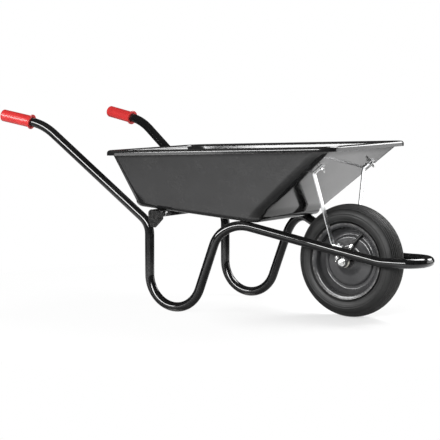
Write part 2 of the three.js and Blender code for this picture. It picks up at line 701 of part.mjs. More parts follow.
function addTray() {
  const shell = loft([
    ...filletLoops(TRAY_SHEET),
    ...lipLoops(TRAY_SHEET),
    ...lipLoops(0).reverse(),
    ...filletLoops(0).reverse(),
  ]);
  const holes = [-1, 1].flatMap((side) => {
    const { brace, stayTop } = boltPlaces(side);
    return [boltHole(brace), boltHole(stayTop)];
  });
  addPiece('tray', cut(shell, ...holes), 'trayPaint');
}

// ---- Bolts --------------------------------------------------------------------------

/** Hexagon-headed bolt: the head's underside is z = 0 and the shank runs down -Z. */
function hexBolt(shankLength) {
  const head = plate(hexagon(NUT_ACROSS_FLATS), NUT_HEIGHT);
  return join(head, rod(BOLT_RADIUS, shankLength + 1).translate(0, 0, -shankLength));
}

/** A bolt with its washer and nut, clamping grip millimetres below its seat. */
function addBoltSet(name, makeBolt, { seat, down, grip }) {
  const up = down.clone().negate();
  const along = (distance) => seat.clone().addScaledVector(down, distance);
  const washerDepth = grip + GAP;
  const nutDepth = washerDepth + WASHER_THICKNESS + GAP;
  const shank = nutDepth + NUT_HEIGHT + BOLT_TAIL;
  addPiece(`${name}_bolt`, placed(makeBolt(shank), along(-GAP), up), 'zinc');
  const washerShape = washer(WASHER_DIAMETER / 2, WASHER_THICKNESS, BOLT_RADIUS);
  const nutShape = nut(NUT_ACROSS_FLATS, NUT_HEIGHT, BOLT_RADIUS);
  addPiece(`${name}_washer`, placed(washerShape, along(washerDepth), down), 'zinc');
  addPiece(`${name}_nut`, placed(nutShape, along(nutDepth), down), 'zinc');
}

function addBolts() {
  forEachSide((side, name) => {
    const places = boltPlaces(side);
    addBoltSet(`brace_${name}`, cupBolt, places.brace);
    addBoltSet(`stay_top_${name}`, cupBolt, places.stayTop);
    addBoltSet(`stay_foot_${name}`, hexBolt, places.stayFoot);
  });
}

// ---- Wheel --------------------------------------------------------------------------

const WHEEL_SIDES = 36;

/** Turns a [radius, y] outline about the axle. */
function turnedWheelPart(points, sides = WHEEL_SIDES) {
  return placed(turned(points, sides), ...onAxle(1, 0));
}

// The tyre's section beside the tread: share of its height above the bead, and of half its width.
const TYRE_SIDE = [[0.24, 0.92], [0.45, 1], [0.68, 0.93], [0.86, 0.72]];
const TYRE_INSIDE = [[0.28, 0.92], [0.48, 1], [0.66, 0.93]];
// Tread from the shoulder to the middle: depth below the crown, and share of half the width.
const TREAD_BLOCKS = [[3, 0.5], [5, 0.42], [5, 0.36], [1, 0.3], [0, 0.09]];
const TREAD_GROOVE_SHARE = 0.05; // half the middle groove, as a share of half the width

/** Outline of the tyre: outer skin from bead to bead, then the inner skin back. */
function tyreOutline() {
  const crown = WHEEL_DIAMETER / 2;
  const bead = RIM_DIAMETER / 2 - TYRE_BEAD_DEPTH;
  const beadY = RIM_WIDTH / 2 - TYRE_BEAD_INSET;
  const half = TYRE_WIDTH / 2;
  const onSide = ([rise, share]) => [bead + rise * (crown - bead), share * half];
  const outside = [
    [bead, beadY],
    [RIM_DIAMETER / 2 + 2, beadY],
    ...TYRE_SIDE.map(onSide),
    ...TREAD_BLOCKS.map(([depth, share]) => [crown - depth, share * half]),
    [crown - TYRE_GROOVE, TREAD_GROOVE_SHARE * half],
  ];
  const inside = [
    [bead, beadY - TYRE_WALL],
    ...TYRE_INSIDE.map(onSide).map(([radius, y]) => [radius, y - TYRE_WALL]),
    [crown - 2 * TYRE_WALL, half / 2],
    [crown - 2 * TYRE_WALL, 0],
  ];
  const skin = [...flipped(outside), ...outside.slice().reverse()];
  return [...skin, ...inside, ...flipped(inside).reverse().slice(1), skin[0]];
}

/** The same [radius, y] points on the other side of the wheel. */
function flipped(points) {
  return points.map(([radius, y]) => [radius, -y]);
}

/** Middle of the rim's sheet from the flange to the hub, on the +Y side. */
function rimLine() {
  const flange = RIM_DIAMETER / 2;
  const seat = flange - RIM_FLANGE_DEPTH;
  const edge = RIM_WIDTH / 2;
  const ring = RIM_RING_DIAMETER / 2;
  const ringEnd = ring - RIM_RING_WIDTH;
  const meetY = (RIM_SHEET + GAP) / 2;
  const hub = HUB_RADIUS + 2 * GAP;
  const hubY = meetY + RIM_DISH;
  return [
    [flange, edge + RIM_SHEET / 2],
    [flange - 5 * RIM_SHEET, edge - RIM_SHEET / 2],
    [seat, edge - 2.5 * RIM_SHEET],
    [seat - RIM_SHEET, edge - RIM_SHEET - RIM_WELL_WIDTH],
    [ring + 2.5 * RIM_SHEET, meetY + 2.5 * RIM_SHEET],
    [ring, meetY],
    [ringEnd, meetY],
    [ringEnd - 2.5 * RIM_SHEET, meetY + RIM_STEP],
    [hub + RIM_DISH + 3 * RIM_SHEET, meetY + RIM_STEP + RIM_SHEET],
    [hub + RIM_DISH / 2, hubY - RIM_SHEET / 2],
    [hub, hubY],
  ];
}

/** Middle line of the valve stem: from the inner tube to the cap, and its direction. */
function valveLine() {
  const start = RIM_DIAMETER / 2 - VALVE_ROOT_DEPTH;
  const root = new THREE.Vector3(start * cosineOf(VALVE_ANGLE), 0, AXLE_HEIGHT + start * sineOf(VALVE_ANGLE));
  const cap = new THREE.Vector3(VALVE_CAP_PLACE.x, VALVE_CAP_PLACE.y, AXLE_HEIGHT + VALVE_CAP_PLACE.rise);
  return { root, direction: cap.clone().sub(root).normalize(), length: cap.distanceTo(root) };
}

function addRims() {
  const { root, direction, length } = valveLine();
  const valveHole = placed(rod(VALVE_STEM_DIAMETER / 2 + BOLT_CLEARANCE, length), root, direction);
  const left = sheetOutline(rimLine(), RIM_SHEET);
  const right = flipped(left).reverse();
  addPiece('rim_left', turnedWheelPart(left), 'rimPaint');
  addPiece('rim_right', cut(turnedWheelPart(right), valveHole), 'rimPaint');
}

const INNER_TUBE_SIDES = 10;

/** Hollow ring inside the tyre, open at the valve. */
function addInnerTube() {
  const outermost = WHEEL_DIAMETER / 2 - 2 * TYRE_WALL - 2 * GAP;
  const innermost = RIM_DIAMETER / 2 - INNER_TUBE_SEAT;
  const middle = (outermost + innermost) / 2;
  const height = (outermost - innermost) / 2;
  const halfWidth = TYRE_WIDTH / 2 - TYRE_WALL - INNER_TUBE_SLACK;
  const ring = (inset) => {
    const angles = Array.from({ length: INNER_TUBE_SIDES + 1 }, (_, i) => (360 * i) / INNER_TUBE_SIDES);
    return turnedWheelPart(angles.map((a) => (
      [middle + (height - inset) * cosineOf(a), (halfWidth - inset) * sineOf(a)]
    )));
  };
  const { root } = valveLine();
  const inward = new THREE.Vector3(0, 0, AXLE_HEIGHT).sub(root).normalize();
  const start = root.clone().addScaledVector(inward, -height / 2);
  const opening = placed(rod(VALVE_STEM_DIAMETER / 3, height), start, inward);
  addPiece('inner_tube', cut(ring(0), ring(INNER_TUBE_WALL), opening), 'innerTube');
}

const HUB_SIDES = 24;

function addHub() {
  const bore = HUB_RADIUS - HUB_WALL;
  const plug = bore - GAP;
  const axleBore = AXLE_RADIUS + RUNNING_CLEARANCE;
  const length = 2 * HUB_END_Y;
  const tube = [[bore, 0], [HUB_RADIUS, 0], [HUB_RADIUS, length], [bore, length], [bore, 0]];
  addPiece('hub', placed(turned(tube, HUB_SIDES), ...onAxle(1, -HUB_END_Y)), 'rimPaint');
  const bearing = [
    [axleBore, 0],
    [plug, 0],
    [plug, BEARING_DEPTH],
    [HUB_RADIUS, BEARING_DEPTH],
    [HUB_RADIUS, BEARING_DEPTH + BEARING_FLANGE],
    [axleBore, BEARING_DEPTH + BEARING_FLANGE],
    [axleBore, 0],
  ];
  forEachSide((side, name) => {
    const start = HUB_END_Y + GAP - BEARING_DEPTH;
    addPiece(`bearing_${name}`, placed(turned(bearing, HUB_SIDES), ...onAxle(side, start)), 'nylon');
  });
}

function addValve() {
  const { root, direction, length } = valveLine();
  const stemLength = length - VALVE_CAP_LENGTH / 2;
  addPiece('valve_stem', placed(rod(VALVE_STEM_DIAMETER / 2, stemLength), root, direction), 'innerTube');
  const capStart = root.clone().addScaledVector(direction, stemLength + GAP);
  addPiece('valve_cap', placed(rod(VALVE_CAP_DIAMETER / 2, VALVE_CAP_LENGTH), capStart, direction), 'zinc');
}

// ---- Assembly -----------------------------------------------------------------------

addFrameTube();
forEachSide((side, name) => {
  addGrip(side, name);
  addStay(side, name);
  addAxleBracket(side, name);
});
addRearBrace();
addAxleGroup();
addTray();
addBolts();
addPiece('tyre', turnedWheelPart(tyreOutline()), 'tyre');
addRims();
addInnerTube();
addHub();
addValve();

const box = new THREE.Box3().setFromObject(wheelbarrow);
wheelbarrow.position.set(-(box.min.x + box.max.x) / 2, 0, -box.min.z);

export default wheelbarrow;
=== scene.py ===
"""Steel wheelbarrow: bent tube frame, pressed tray and air-filled wheel, built round the CAD frame."""

import logging
import math
from dataclasses import dataclass, field
from enum import Enum
from typing import Callable, Iterable, Sequence

import bmesh
import bpy
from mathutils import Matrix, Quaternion, Vector


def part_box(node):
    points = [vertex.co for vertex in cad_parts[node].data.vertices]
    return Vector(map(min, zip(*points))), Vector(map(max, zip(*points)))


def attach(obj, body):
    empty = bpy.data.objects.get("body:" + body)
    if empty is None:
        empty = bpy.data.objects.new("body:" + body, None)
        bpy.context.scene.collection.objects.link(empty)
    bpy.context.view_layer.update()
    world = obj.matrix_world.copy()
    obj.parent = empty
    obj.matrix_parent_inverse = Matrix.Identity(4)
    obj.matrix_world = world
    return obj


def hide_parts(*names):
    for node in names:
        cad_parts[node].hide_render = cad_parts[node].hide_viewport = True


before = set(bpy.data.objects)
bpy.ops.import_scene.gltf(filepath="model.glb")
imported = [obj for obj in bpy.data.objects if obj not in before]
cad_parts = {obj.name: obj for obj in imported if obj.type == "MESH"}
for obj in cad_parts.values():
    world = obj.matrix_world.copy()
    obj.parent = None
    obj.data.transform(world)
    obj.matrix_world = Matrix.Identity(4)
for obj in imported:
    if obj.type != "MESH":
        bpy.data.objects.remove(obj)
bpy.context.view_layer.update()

LOG = logging.getLogger("wheelbarrow")
MM = 0.001
UP = Vector((0.0, 0.0, 1.0))
AXLE = sum(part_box("axle"), Vector()) / 2
SIDES = {"right": -1, "left": 1}

Point2 = tuple[float, float]


# ---- Shape helpers --------------------------------------------------------------------


def at(x: float, y: float, z: float) -> Vector:
    """Row-frame point from millimetres ahead of the axle, left of the middle plane and above the ground."""
    return Vector((AXLE.x + x * MM, y * MM, z * MM))


def tan_of(degrees: float) -> float:
    """Tangent of an angle in degrees."""
    return math.tan(math.radians(degrees))


def steps(start: float, end: float, count: int) -> list[float]:
    """Evenly spaced values from start to end, both included."""
    return [start + (end - start) * i / count for i in range(count + 1)]


@dataclass
class Shape:
    """Vertices and faces that are collected before they become one mesh."""

    verts: list[Vector] = field(default_factory=list)
    faces: list[tuple[int, ...]] = field(default_factory=list)

    def add(self, verts: Iterable[Vector], faces: Iterable[Sequence[int]]) -> "Shape":
        """Appends vertices and the faces that index them.

        Args:
            verts: new vertices, in metres.
            faces: faces whose indices count from the first new vertex.

        Returns:
            This shape, so that calls can follow one another.
        """
        base = len(self.verts)
        self.verts.extend(verts)
        self.faces.extend(tuple(base + i for i in face) for face in faces)
        return self

    def grid(self, rows: Sequence[Sequence[Vector]], wrap_rows: bool = False, caps: bool = False) -> "Shape":
        """Skins rows of points that each close on themselves.

        Args:
            rows: loops with the same number of points.
            wrap_rows: joins the last row back to the first.
            caps: closes the first and last row with a flat face.

        Returns:
            This shape.
        """
        count = len(rows[0])
        total = len(rows)
        faces: list[tuple[int, ...]] = []
        for row in range(total if wrap_rows else total - 1):
            low, high = row * count, (row + 1) % total * count
            for i in range(count):
                j = (i + 1) % count
                faces.append((low + i, low + j, high + j, high + i))
        if caps:
            faces.append(tuple(reversed(range(count))))
            faces.append(tuple(range((total - 1) * count, total * count)))
        return self.add([point for row in rows for point in row], faces)

    def turned(
        self,
        profile: Sequence[Point2],
        origin: Vector,
        axis: Vector,
        sides: int = 48,
        closed: bool = False,
    ) -> "Shape":
        """Turns a profile about an axis.

        Args:
            profile: radius and height pairs, in millimetres.
            origin: where height is 0, in metres.
            axis: direction of growing height.
            sides: segments round the axis.
            closed: joins the last profile point to the first.

        Returns:
            This shape.
        """
        return self.lathe(
            [lambda _, r=r: r for r, _ in profile], [h for _, h in profile], origin, axis, sides, closed
        )

    def lathe(
        self,
        radii: Sequence[Callable[[float], float]],
        heights: Sequence[float],
        origin: Vector,
        axis: Vector,
        sides: int,
        closed: bool = False,
    ) -> "Shape":
        """Like turned, with a radius that may change with the angle.

        Args:
            radii: for each height, the radius in millimetres as a function of the angle.
            heights: heights along the axis, in millimetres.
            origin: where height is 0, in metres.
            axis: direction of growing height.
            sides: segments round the axis.
            closed: joins the last row to the first.

        Returns:
            This shape.
        """
        turn = UP.rotation_difference(axis.normalized())
        rows = []
        for radius_at, height in zip(radii, heights):
            row = []
            for side in range(sides):
                angle = 2 * math.pi * side / sides
                radius = radius_at(angle)
                spoke = Vector((radius * math.cos(angle), radius * math.sin(angle), height)) * MM
                row.append(origin + turn @ spoke)
            rows.append(row)
        return self.grid(rows, wrap_rows=closed)


def make_piece(name: str, shape: Shape, smooth_angle: float = 38.0) -> bpy.types.Object:
    """Makes a mesh object with merged vertices, outward normals and sharp edges kept sharp.

    Args:
        name: the piece's name.
        shape: its vertices and faces.
        smooth_angle: edges that bend by more degrees than this stay sharp.

    Returns:
        The new object, linked to the scene.
    """
    mesh = bpy.data.meshes.new(name)
    mesh.from_pydata([tuple(v) for v in shape.verts], [], shape.faces)
    work = bmesh.new()
    work.from_mesh(mesh)
    bmesh.ops.remove_doubles(work, verts=work.verts, dist=1e-7)
    bmesh.ops.recalc_face_normals(work, faces=work.faces)
    work.to_mesh(mesh)
    work.free()
    mesh.shade_smooth()
    mesh.set_sharp_from_angle(angle=math.radians(smooth_angle))
    piece = bpy.data.objects.new(name, mesh)
    bpy.context.scene.collection.objects.link(piece)
    return piece


def round_edges(piece: bpy.types.Object, width: float, segments: int = 3) -> None:
    """Rounds a piece's sharp edges by width millimetres."""
    bevel = piece.modifiers.new("rounded_edges", "BEVEL")
    bevel.width = width * MM
    bevel.segments = segments
    bevel.limit_method = "ANGLE"
    bevel.angle_limit = math.radians(35)
    bevel.harden_normals = True


@dataclass
class BentLine:
    """Straight runs joined by arcs: points and the direction at each."""

    points: list[Vector] = field(default_factory=list)
    tangents: list[Vector] = field(default_factory=list)

    @classmethod
    def through(cls, corners: Sequence[Vector], radii: Sequence[float], arc_step: float = 4.0) -> "BentLine":
        """Rounds each inner corner with an arc.

        Args:
            corners: corner points in metres.
            radii: bend radius at each corner in millimetres; the two ends' are unused.
            arc_step: degrees between points on an arc.

        Returns:
            The line.
        """
        line = cls()
        line.put(corners[0], corners[1] - corners[0])
        for before, corner, after, radius in zip(corners, corners[1:], corners[2:], radii[1:]):
            incoming, outgoing = (corner - before).normalized(), (after - corner).normalized()
            turn = incoming.angle(outgoing)
            axis = incoming.cross(outgoing).normalized()
            to_centre = axis.cross(incoming)
            start = corner - incoming * (radius * MM * math.tan(turn / 2))
            centre = start + to_centre * radius * MM
            for angle in steps(0.0, turn, max(2, math.ceil(math.degrees(turn) / arc_step))):
                spin = Quaternion(axis, angle)
                line.put(centre - spin @ to_centre * radius * MM, spin @ incoming)
        line.put(corners[-1], corners[-1] - corners[-2])
        return line

    def put(self, point: Vector, direction: Vector) -> None:
        """Adds one point."""
        self.points.append(point.copy())
        self.tangents.append(direction.normalized())

    def sweep(self, section: Sequence[Point2], side: Vector) -> list[list[Vector]]:
        """Carries a section along the line without twist.

        Args:
            section: closed outline in millimetres, along side and across it.
            side: direction of the section's first axis at the start.

        Returns:
            One loop of points for each point of the line.
        """
        first = (side - self.tangents[0] * side.dot(self.tangents[0])).normalized()
        rows, last = [], self.tangents[0]
        for point, tangent in zip(self.points, self.tangents):
            first = last.rotation_difference(tangent) @ first
            second = tangent.cross(first)
            rows.append([point + (first * a + second * b) * MM for a, b in section])
            last = tangent
        return rows


def ring_section(radius: float, sides: int = 40) -> list[Point2]:
    """Round outline of that radius."""
    return [(radius * math.cos(a), radius * math.sin(a)) for a in steps(0.0, 2 * math.pi, sides)[:-1]]


def bar_section(width: float, thickness: float, edge: float) -> list[Point2]:
    """Flat bar's outline with rounded edges, in millimetres."""
    outline = []
    for sx, sy, start in ((1, 1, 0), (-1, 1, 90), (-1, -1, 180), (1, -1, 270)):
        for turn in (0, 30, 60, 90):
            angle = math.radians(start + turn)
            outline.append(
                (
                    sx * (width / 2 - edge) + edge * math.cos(angle),
                    sy * (thickness / 2 - edge) + edge * math.sin(angle)
                )
            )
    return outline


def rounded_outline(points: Sequence[Point2], radii: Sequence[float], arc_steps: int = 6) -> list[Point2]:
    """Rounds the corners of a closed outline.

    Args:
        points: corners in order, in millimetres.
        radii: corner radius for each; 0 keeps it sharp.
        arc_steps: segments in each arc.

    Returns:
        The outline's points.
    """
    outline: list[Point2] = []
    for i, radius in enumerate(radii):
        before, corner, after = (Vector(points[(i + k) % len(points)]) for k in (-1, 0, 1))
        if radius <= 0:
            outline.append(tuple(corner))
            continue
        incoming, outgoing = (before - corner).normalized(), (after - corner).normalized()
        half = incoming.angle(outgoing) / 2
        reach = radius / math.tan(half)
        start, end = corner + incoming * reach, corner + outgoing * reach
        for t in steps(0.0, 1.0, arc_steps):
            near, far = start.lerp(corner, t), corner.lerp(end, t)
            outline.append(tuple(near.lerp(far, t)))
    return outline


def smooth_curve(points: Sequence[Point2], spacing: float) -> list[Point2]:
    """Catmull-Rom curve through the points, sampled about every spacing millimetres."""
    padded = [points[0], *points, points[-1]]
    curve: list[Point2] = []
    for p0, p1, p2, p3 in zip(padded, padded[1:], padded[2:], padded[3:]):
        count = max(1, round(math.dist(p1, p2) / spacing))
        for t in steps(0.0, 1.0, count)[:-1]:
            curve.append(
                tuple(
                    0.5 * (
                        2 * b + (c - a) * t + (2 * a - 5 * b + 4 * c - d) * t**2 + (3 * b - a - 3 * c + d) * t**3
                    )
                    for a, b, c, d in zip(p0, p1, p2, p3)
                )
            )
    return [*curve, tuple(points[-1])]


def sheet_band(line: Sequence[Point2], thickness: float) -> list[Point2]:
    """Closed outline of a sheet of that thickness bent along the line."""
    half = thickness / 2
    near, far = [], []
    for i, (x, y) in enumerate(line):
        (x0, y0), (x1, y1) = line[max(i - 1, 0)], line[min(i + 1, len(line) - 1)]
        length = math.hypot(x1 - x0, y1 - y0)
        nx, ny = -(y1 - y0) / length * half, (x1 - x0) / length * half
        near.append((x + nx, y + ny))
        far.append((x - nx, y - ny))
    return [*near, *reversed(far)]


def plate_shape(outline: Sequence[Point2], low_y: float, high_y: float) -> Shape:
    """Flat plate from an outline in x and z, between two y values, in millimetres."""
    rows = [[at(x, y, z) for x, z in outline] for y in (low_y, high_y)]
    return Shape().grid(rows, caps=True)


# ---- Finishes -------------------------------------------------------------------------


class Graph:
    """Adds nodes and links to one node tree in few words."""

    def __init__(self, tree: bpy.types.NodeTree) -> None:
        """Keeps the tree."""
        self.tree = tree

    def add(self, kind: str, inputs: dict | None = None, **settings: object) -> bpy.types.Node:
        """Adds a node.

        Args:
            kind: the node's type name.
            inputs: socket name or number to a value, or to an output socket to link from.
            settings: properties of the node itself.

        Returns:
            The node.
        """
        node = self.tree.nodes.new(kind)
        for key, value in settings.items():
            setattr(node, key, value)
        for key, value in (inputs or {}).items():
            if isinstance(value, bpy.types.NodeSocket):
                self.tree.links.new(value, node.inputs[key])
            else:
                node.inputs[key].default_value = value
        return node

    def math(self, operation: str, a: object, b: object = 0.0) -> bpy.types.NodeSocket:
        """Output of a Math node."""
        return self.add("ShaderNodeMath", {0: a, 1: b}, operation=operation).outputs[0]

    def spread(
        self, value: object, low: float, high: float, to_low: float, to_high: float
    ) -> bpy.types.NodeSocket:
        """Maps low..high onto to_low..to_high and clamps."""
        inputs = {"Value": value, "From Min": low, "From Max": high, "To Min": to_low, "To Max": to_high}
        return self.add("ShaderNodeMapRange", inputs).outputs["Result"]

    def blend(self, mask: object, first: object, second: object) -> bpy.types.NodeSocket:
        """Mixes two colours by a mask."""
        node = self.add("ShaderNodeMix", {"Factor": mask}, data_type="RGBA")
        for socket, value in ((node.inputs[6], first), (node.inputs[7], second)):
            if isinstance(value, bpy.types.NodeSocket):
                self.tree.links.new(value, socket)
            else:
                socket.default_value = (*value, 1.0)
        return node.outputs[2]

    def noise(
        self, where: object, scale: object, detail: float = 3.0, rough: float = 0.55
    ) -> bpy.types.NodeSocket:
        """Value of a noise texture."""
        inputs = {"Vector": where, "Scale": scale, "Detail": detail, "Roughness": rough}
        return self.add("ShaderNodeTexNoise", inputs).outputs[0]

    def bump(self, height: object, distance: float, onto: object | None = None) -> bpy.types.NodeSocket:
        """Normal raised by a height times distance metres, on top of another normal."""
        inputs: dict = {"Height": height, "Distance": distance, "Strength": 1.0}
        if onto is not None:
            inputs["Normal"] = onto
        return self.add("ShaderNodeBump", inputs).outputs["Normal"]


class Effect(Enum):
    """Surface effects that several finishes share."""

    SMUDGES = "smudges"
    SCRATCHES = "scratches"
    EDGES = "edges"
    DUST = "settled_dust"
    SCUFF = "ground_scuff"
    PEEL = "paint_peel"


class EffectGroups:
    """Builds each shared effect once, as a node group, and places it in materials."""

    def __init__(self) -> None:
        """Builds every group."""
        builders = {
            Effect.SMUDGES: self.smudges,
            Effect.SCRATCHES: self.scratches,
            Effect.EDGES: self.edges,
            Effect.DUST: self.dust,
            Effect.SCUFF: self.scuff,
            Effect.PEEL: self.peel,
        }
        self.groups = {effect: builder(effect.value) for effect, builder in builders.items()}

    @staticmethod
    def start(
        name: str, inputs: dict[str, float], outputs: Sequence[str]
    ) -> tuple[bpy.types.NodeTree, Graph, bpy.types.Node, bpy.types.Node]:
        """Starts a group with a Vector input and the named float sockets.

        Args:
            name: the group's name.
            inputs: float inputs and their defaults.
            outputs: names of the float outputs.

        Returns:
            The tree, its graph, the input node and the output node.
        """
        tree = bpy.data.node_groups.new(name, "ShaderNodeTree")
        tree.interface.new_socket("Vector", in_out="INPUT", socket_type="NodeSocketVector")
        for key, value in inputs.items():
            tree.interface.new_socket(
                key, in_out="INPUT", socket_type="NodeSocketFloat"
            ).default_value = value
        for key in outputs:
            tree.interface.new_socket(key, in_out="OUTPUT", socket_type="NodeSocketFloat")
        graph = Graph(tree)
        return tree, graph, graph.add("NodeGroupInput"), graph.add("NodeGroupOutput")

    def smudges(self, name: str) -> bpy.types.NodeTree:
        """Soft uneven patches of wiped and unwiped surface."""
        tree, g, entry, leave = self.start(name, {"Scale": 9.0}, ["Value"])
        where = entry.outputs["Vector"]
        broad = g.noise(where, entry.outputs["Scale"], 4.0, 0.6)
        fine = g.noise(where, g.math("MULTIPLY", entry.outputs["Scale"], 11.0), 5.0, 0.65)
        mixed = g.math("ADD", g.math("MULTIPLY", broad, 0.65), g.math("MULTIPLY", fine, 0.35))
        tree.links.new(g.spread(mixed, 0.36, 0.64, 0.0, 1.0), leave.inputs["Value"])
        return tree

    def scratches(self, name: str) -> bpy.types.NodeTree:
        """Thin straight scratches in three directions."""
        tree, g, entry, leave = self.start(name, {"Scale": 60.0, "Amount": 0.5}, ["Mask"])
        total: bpy.types.NodeSocket | None = None
        for turn, stretch in (
            ((0.3, 0.2, 0.5), (1.0, 0.03, 0.03)),
            ((1.1, 0.7, 2.0), (0.03, 1.0, 0.04)),
            ((0.4, 2.1, 1.2), (0.04, 0.03, 1.0))
        ):
            turned = g.add(
                "ShaderNodeMapping", {"Vector": entry.outputs["Vector"], "Rotation": turn, "Scale": stretch}
            )
            value = g.noise(turned.outputs[0], g.math("MULTIPLY", entry.outputs["Scale"], 9.0), 2.0, 0.5)
            line = g.spread(g.math("ABSOLUTE", g.math("SUBTRACT", value, 0.5)), 0.0, 0.006, 1.0, 0.0)
            total = line if total is None else g.math("MAXIMUM", total, line)
        patch = g.spread(g.noise(entry.outputs["Vector"], 14.0, 3.0), 0.5, 0.68, 0.0, 1.0)
        shown = g.math("MULTIPLY", g.math("MULTIPLY", total, patch), entry.outputs["Amount"])
        tree.links.new(shown, leave.inputs["Mask"])
        return tree

    def edges(self, name: str) -> bpy.types.NodeTree:
        """Worn convex edges, and a mask of concave corners."""
        tree, g, entry, leave = self.start(name, {"Breakup": 120.0}, ["Worn", "Hollows"])
        pointed = g.add("ShaderNodeNewGeometry").outputs["Pointiness"]
        rough = g.noise(entry.outputs["Vector"], entry.outputs["Breakup"], 5.0, 0.7)
        wear_and_painted_shade = g.math(
            "MULTIPLY", g.spread(pointed, 0.53, 0.62, 0.0, 1.0), g.spread(rough, 0.42, 0.62, 0.0, 1.0)
        )
        hollow_mask = g.math(
            "MULTIPLY", g.spread(pointed, 0.48, 0.4, 0.0, 1.0), g.spread(rough, 0.3, 0.6, 0.3, 1.0)
        )
        tree.links.new(wear_and_painted_shade, leave.inputs["Worn"])
        tree.links.new(hollow_mask, leave.inputs["Hollows"])
        return tree

    def dust(self, name: str) -> bpy.types.NodeTree:
        """Fine dust that settles on faces that look up."""
        tree, g, entry, leave = self.start(name, {"Amount": 0.3}, ["Mask"])
        normal = g.add("ShaderNodeNewGeometry").outputs["Normal"]
        rise = g.add("ShaderNodeSeparateXYZ", {0: normal}).outputs["Z"]
        cloud = g.noise(entry.outputs["Vector"], 26.0, 6.0, 0.65)
        specks = g.spread(g.noise(entry.outputs["Vector"], 900.0, 2.0, 0.5), 0.6, 0.72, 0.0, 1.0)
        lying = g.math("MULTIPLY", g.spread(rise, 0.1, 0.95, 0.0, 1.0), g.spread(cloud, 0.35, 0.7, 0.1, 1.0))
        mask = g.math(
            "MULTIPLY",
            g.math("MULTIPLY", lying, g.spread(specks, 0.0, 1.0, 0.45, 1.0)),
            entry.outputs["Amount"]
        )
        tree.links.new(mask, leave.inputs["Mask"])
        return tree

    def scuff(self, name: str) -> bpy.types.NodeTree:
        """Rubbed and soiled patches close to the ground."""
        tree, g, entry, leave = self.start(name, {"Height": 0.03}, ["Mask"])
        rise = g.add("ShaderNodeSeparateXYZ", {0: entry.outputs["Vector"]}).outputs["Z"]
        low = g.math("SUBTRACT", 1.0, g.math("DIVIDE", rise, entry.outputs["Height"]))
        patchy = g.noise(entry.outputs["Vector"], 180.0, 5.0, 0.7)
        tree.links.new(
            g.math("MULTIPLY", g.spread(low, 0.0, 0.8, 0.0, 1.0), g.spread(patchy, 0.4, 0.62, 0.0, 1.0)),
            leave.inputs["Mask"],
        )
        return tree

    def peel(self, name: str) -> bpy.types.NodeTree:
        """Fine dimpled texture of sprayed paint and the slow waves of the sheet below it."""
        tree, g, entry, leave = self.start(name, {"Peel Scale": 420.0, "Wave Scale": 7.0}, ["Peel", "Wave"])
        tree.links.new(
            g.noise(entry.outputs["Vector"], entry.outputs["Peel Scale"], 1.0), leave.inputs["Peel"]
        )
        tree.links.new(
            g.noise(entry.outputs["Vector"], entry.outputs["Wave Scale"], 1.5, 0.4), leave.inputs["Wave"]
        )
        return tree

    def place(
        self, graph: Graph, effect: Effect, where: bpy.types.NodeSocket, **values: float
    ) -> bpy.types.Node:
        """Places an effect's group in a material.

        Args:
            graph: the material's graph.
            effect: which effect.
            where: coordinates for its textures.
            values: its inputs, with _ for a space.

        Returns:
            The group node.
        """
        node = graph.add("ShaderNodeGroup", node_tree=self.groups[effect])
        graph.tree.links.new(where, node.inputs["Vector"])
        for key, value in values.items():
            node.inputs[key.replace("_", " ").title()].default_value = value
        return node


Colour = tuple[float, float, float]
DUST_COLOUR: Colour = (0.30, 0.28, 0.25)
BARE_STEEL: Colour = (0.42, 0.41, 0.40)


def start_material(name: str, constants: dict[str, float]) -> tuple[
    bpy.types.Material, Graph, bpy.types.Node, bpy.types.NodeSocket
]:
    """Starts a material round one Principled shader.

    Args:
        name: the material's name.
        constants: values set on the shader's own sockets.

    Returns:
        The material, its graph, the shader node and the coordinates to texture with.
    """
    material = bpy.data.materials.new(name)
    material.use_nodes = True
    graph = Graph(material.node_tree)
    shader = material.node_tree.nodes["Principled BSDF"]
    for key, value in constants.items():
        shader.inputs[key].default_value = value
    where = graph.add("ShaderNodeTexCoord").outputs["Object"]
    return material, graph, shader, where


def feed(graph: Graph, shader: bpy.types.Node, **sockets: bpy.types.NodeSocket) -> None:
    """Links outputs to the shader's sockets, with _ in a name for a space."""
    for key, value in sockets.items():
        graph.tree.links.new(value, shader.inputs[key.replace("_", " ")])


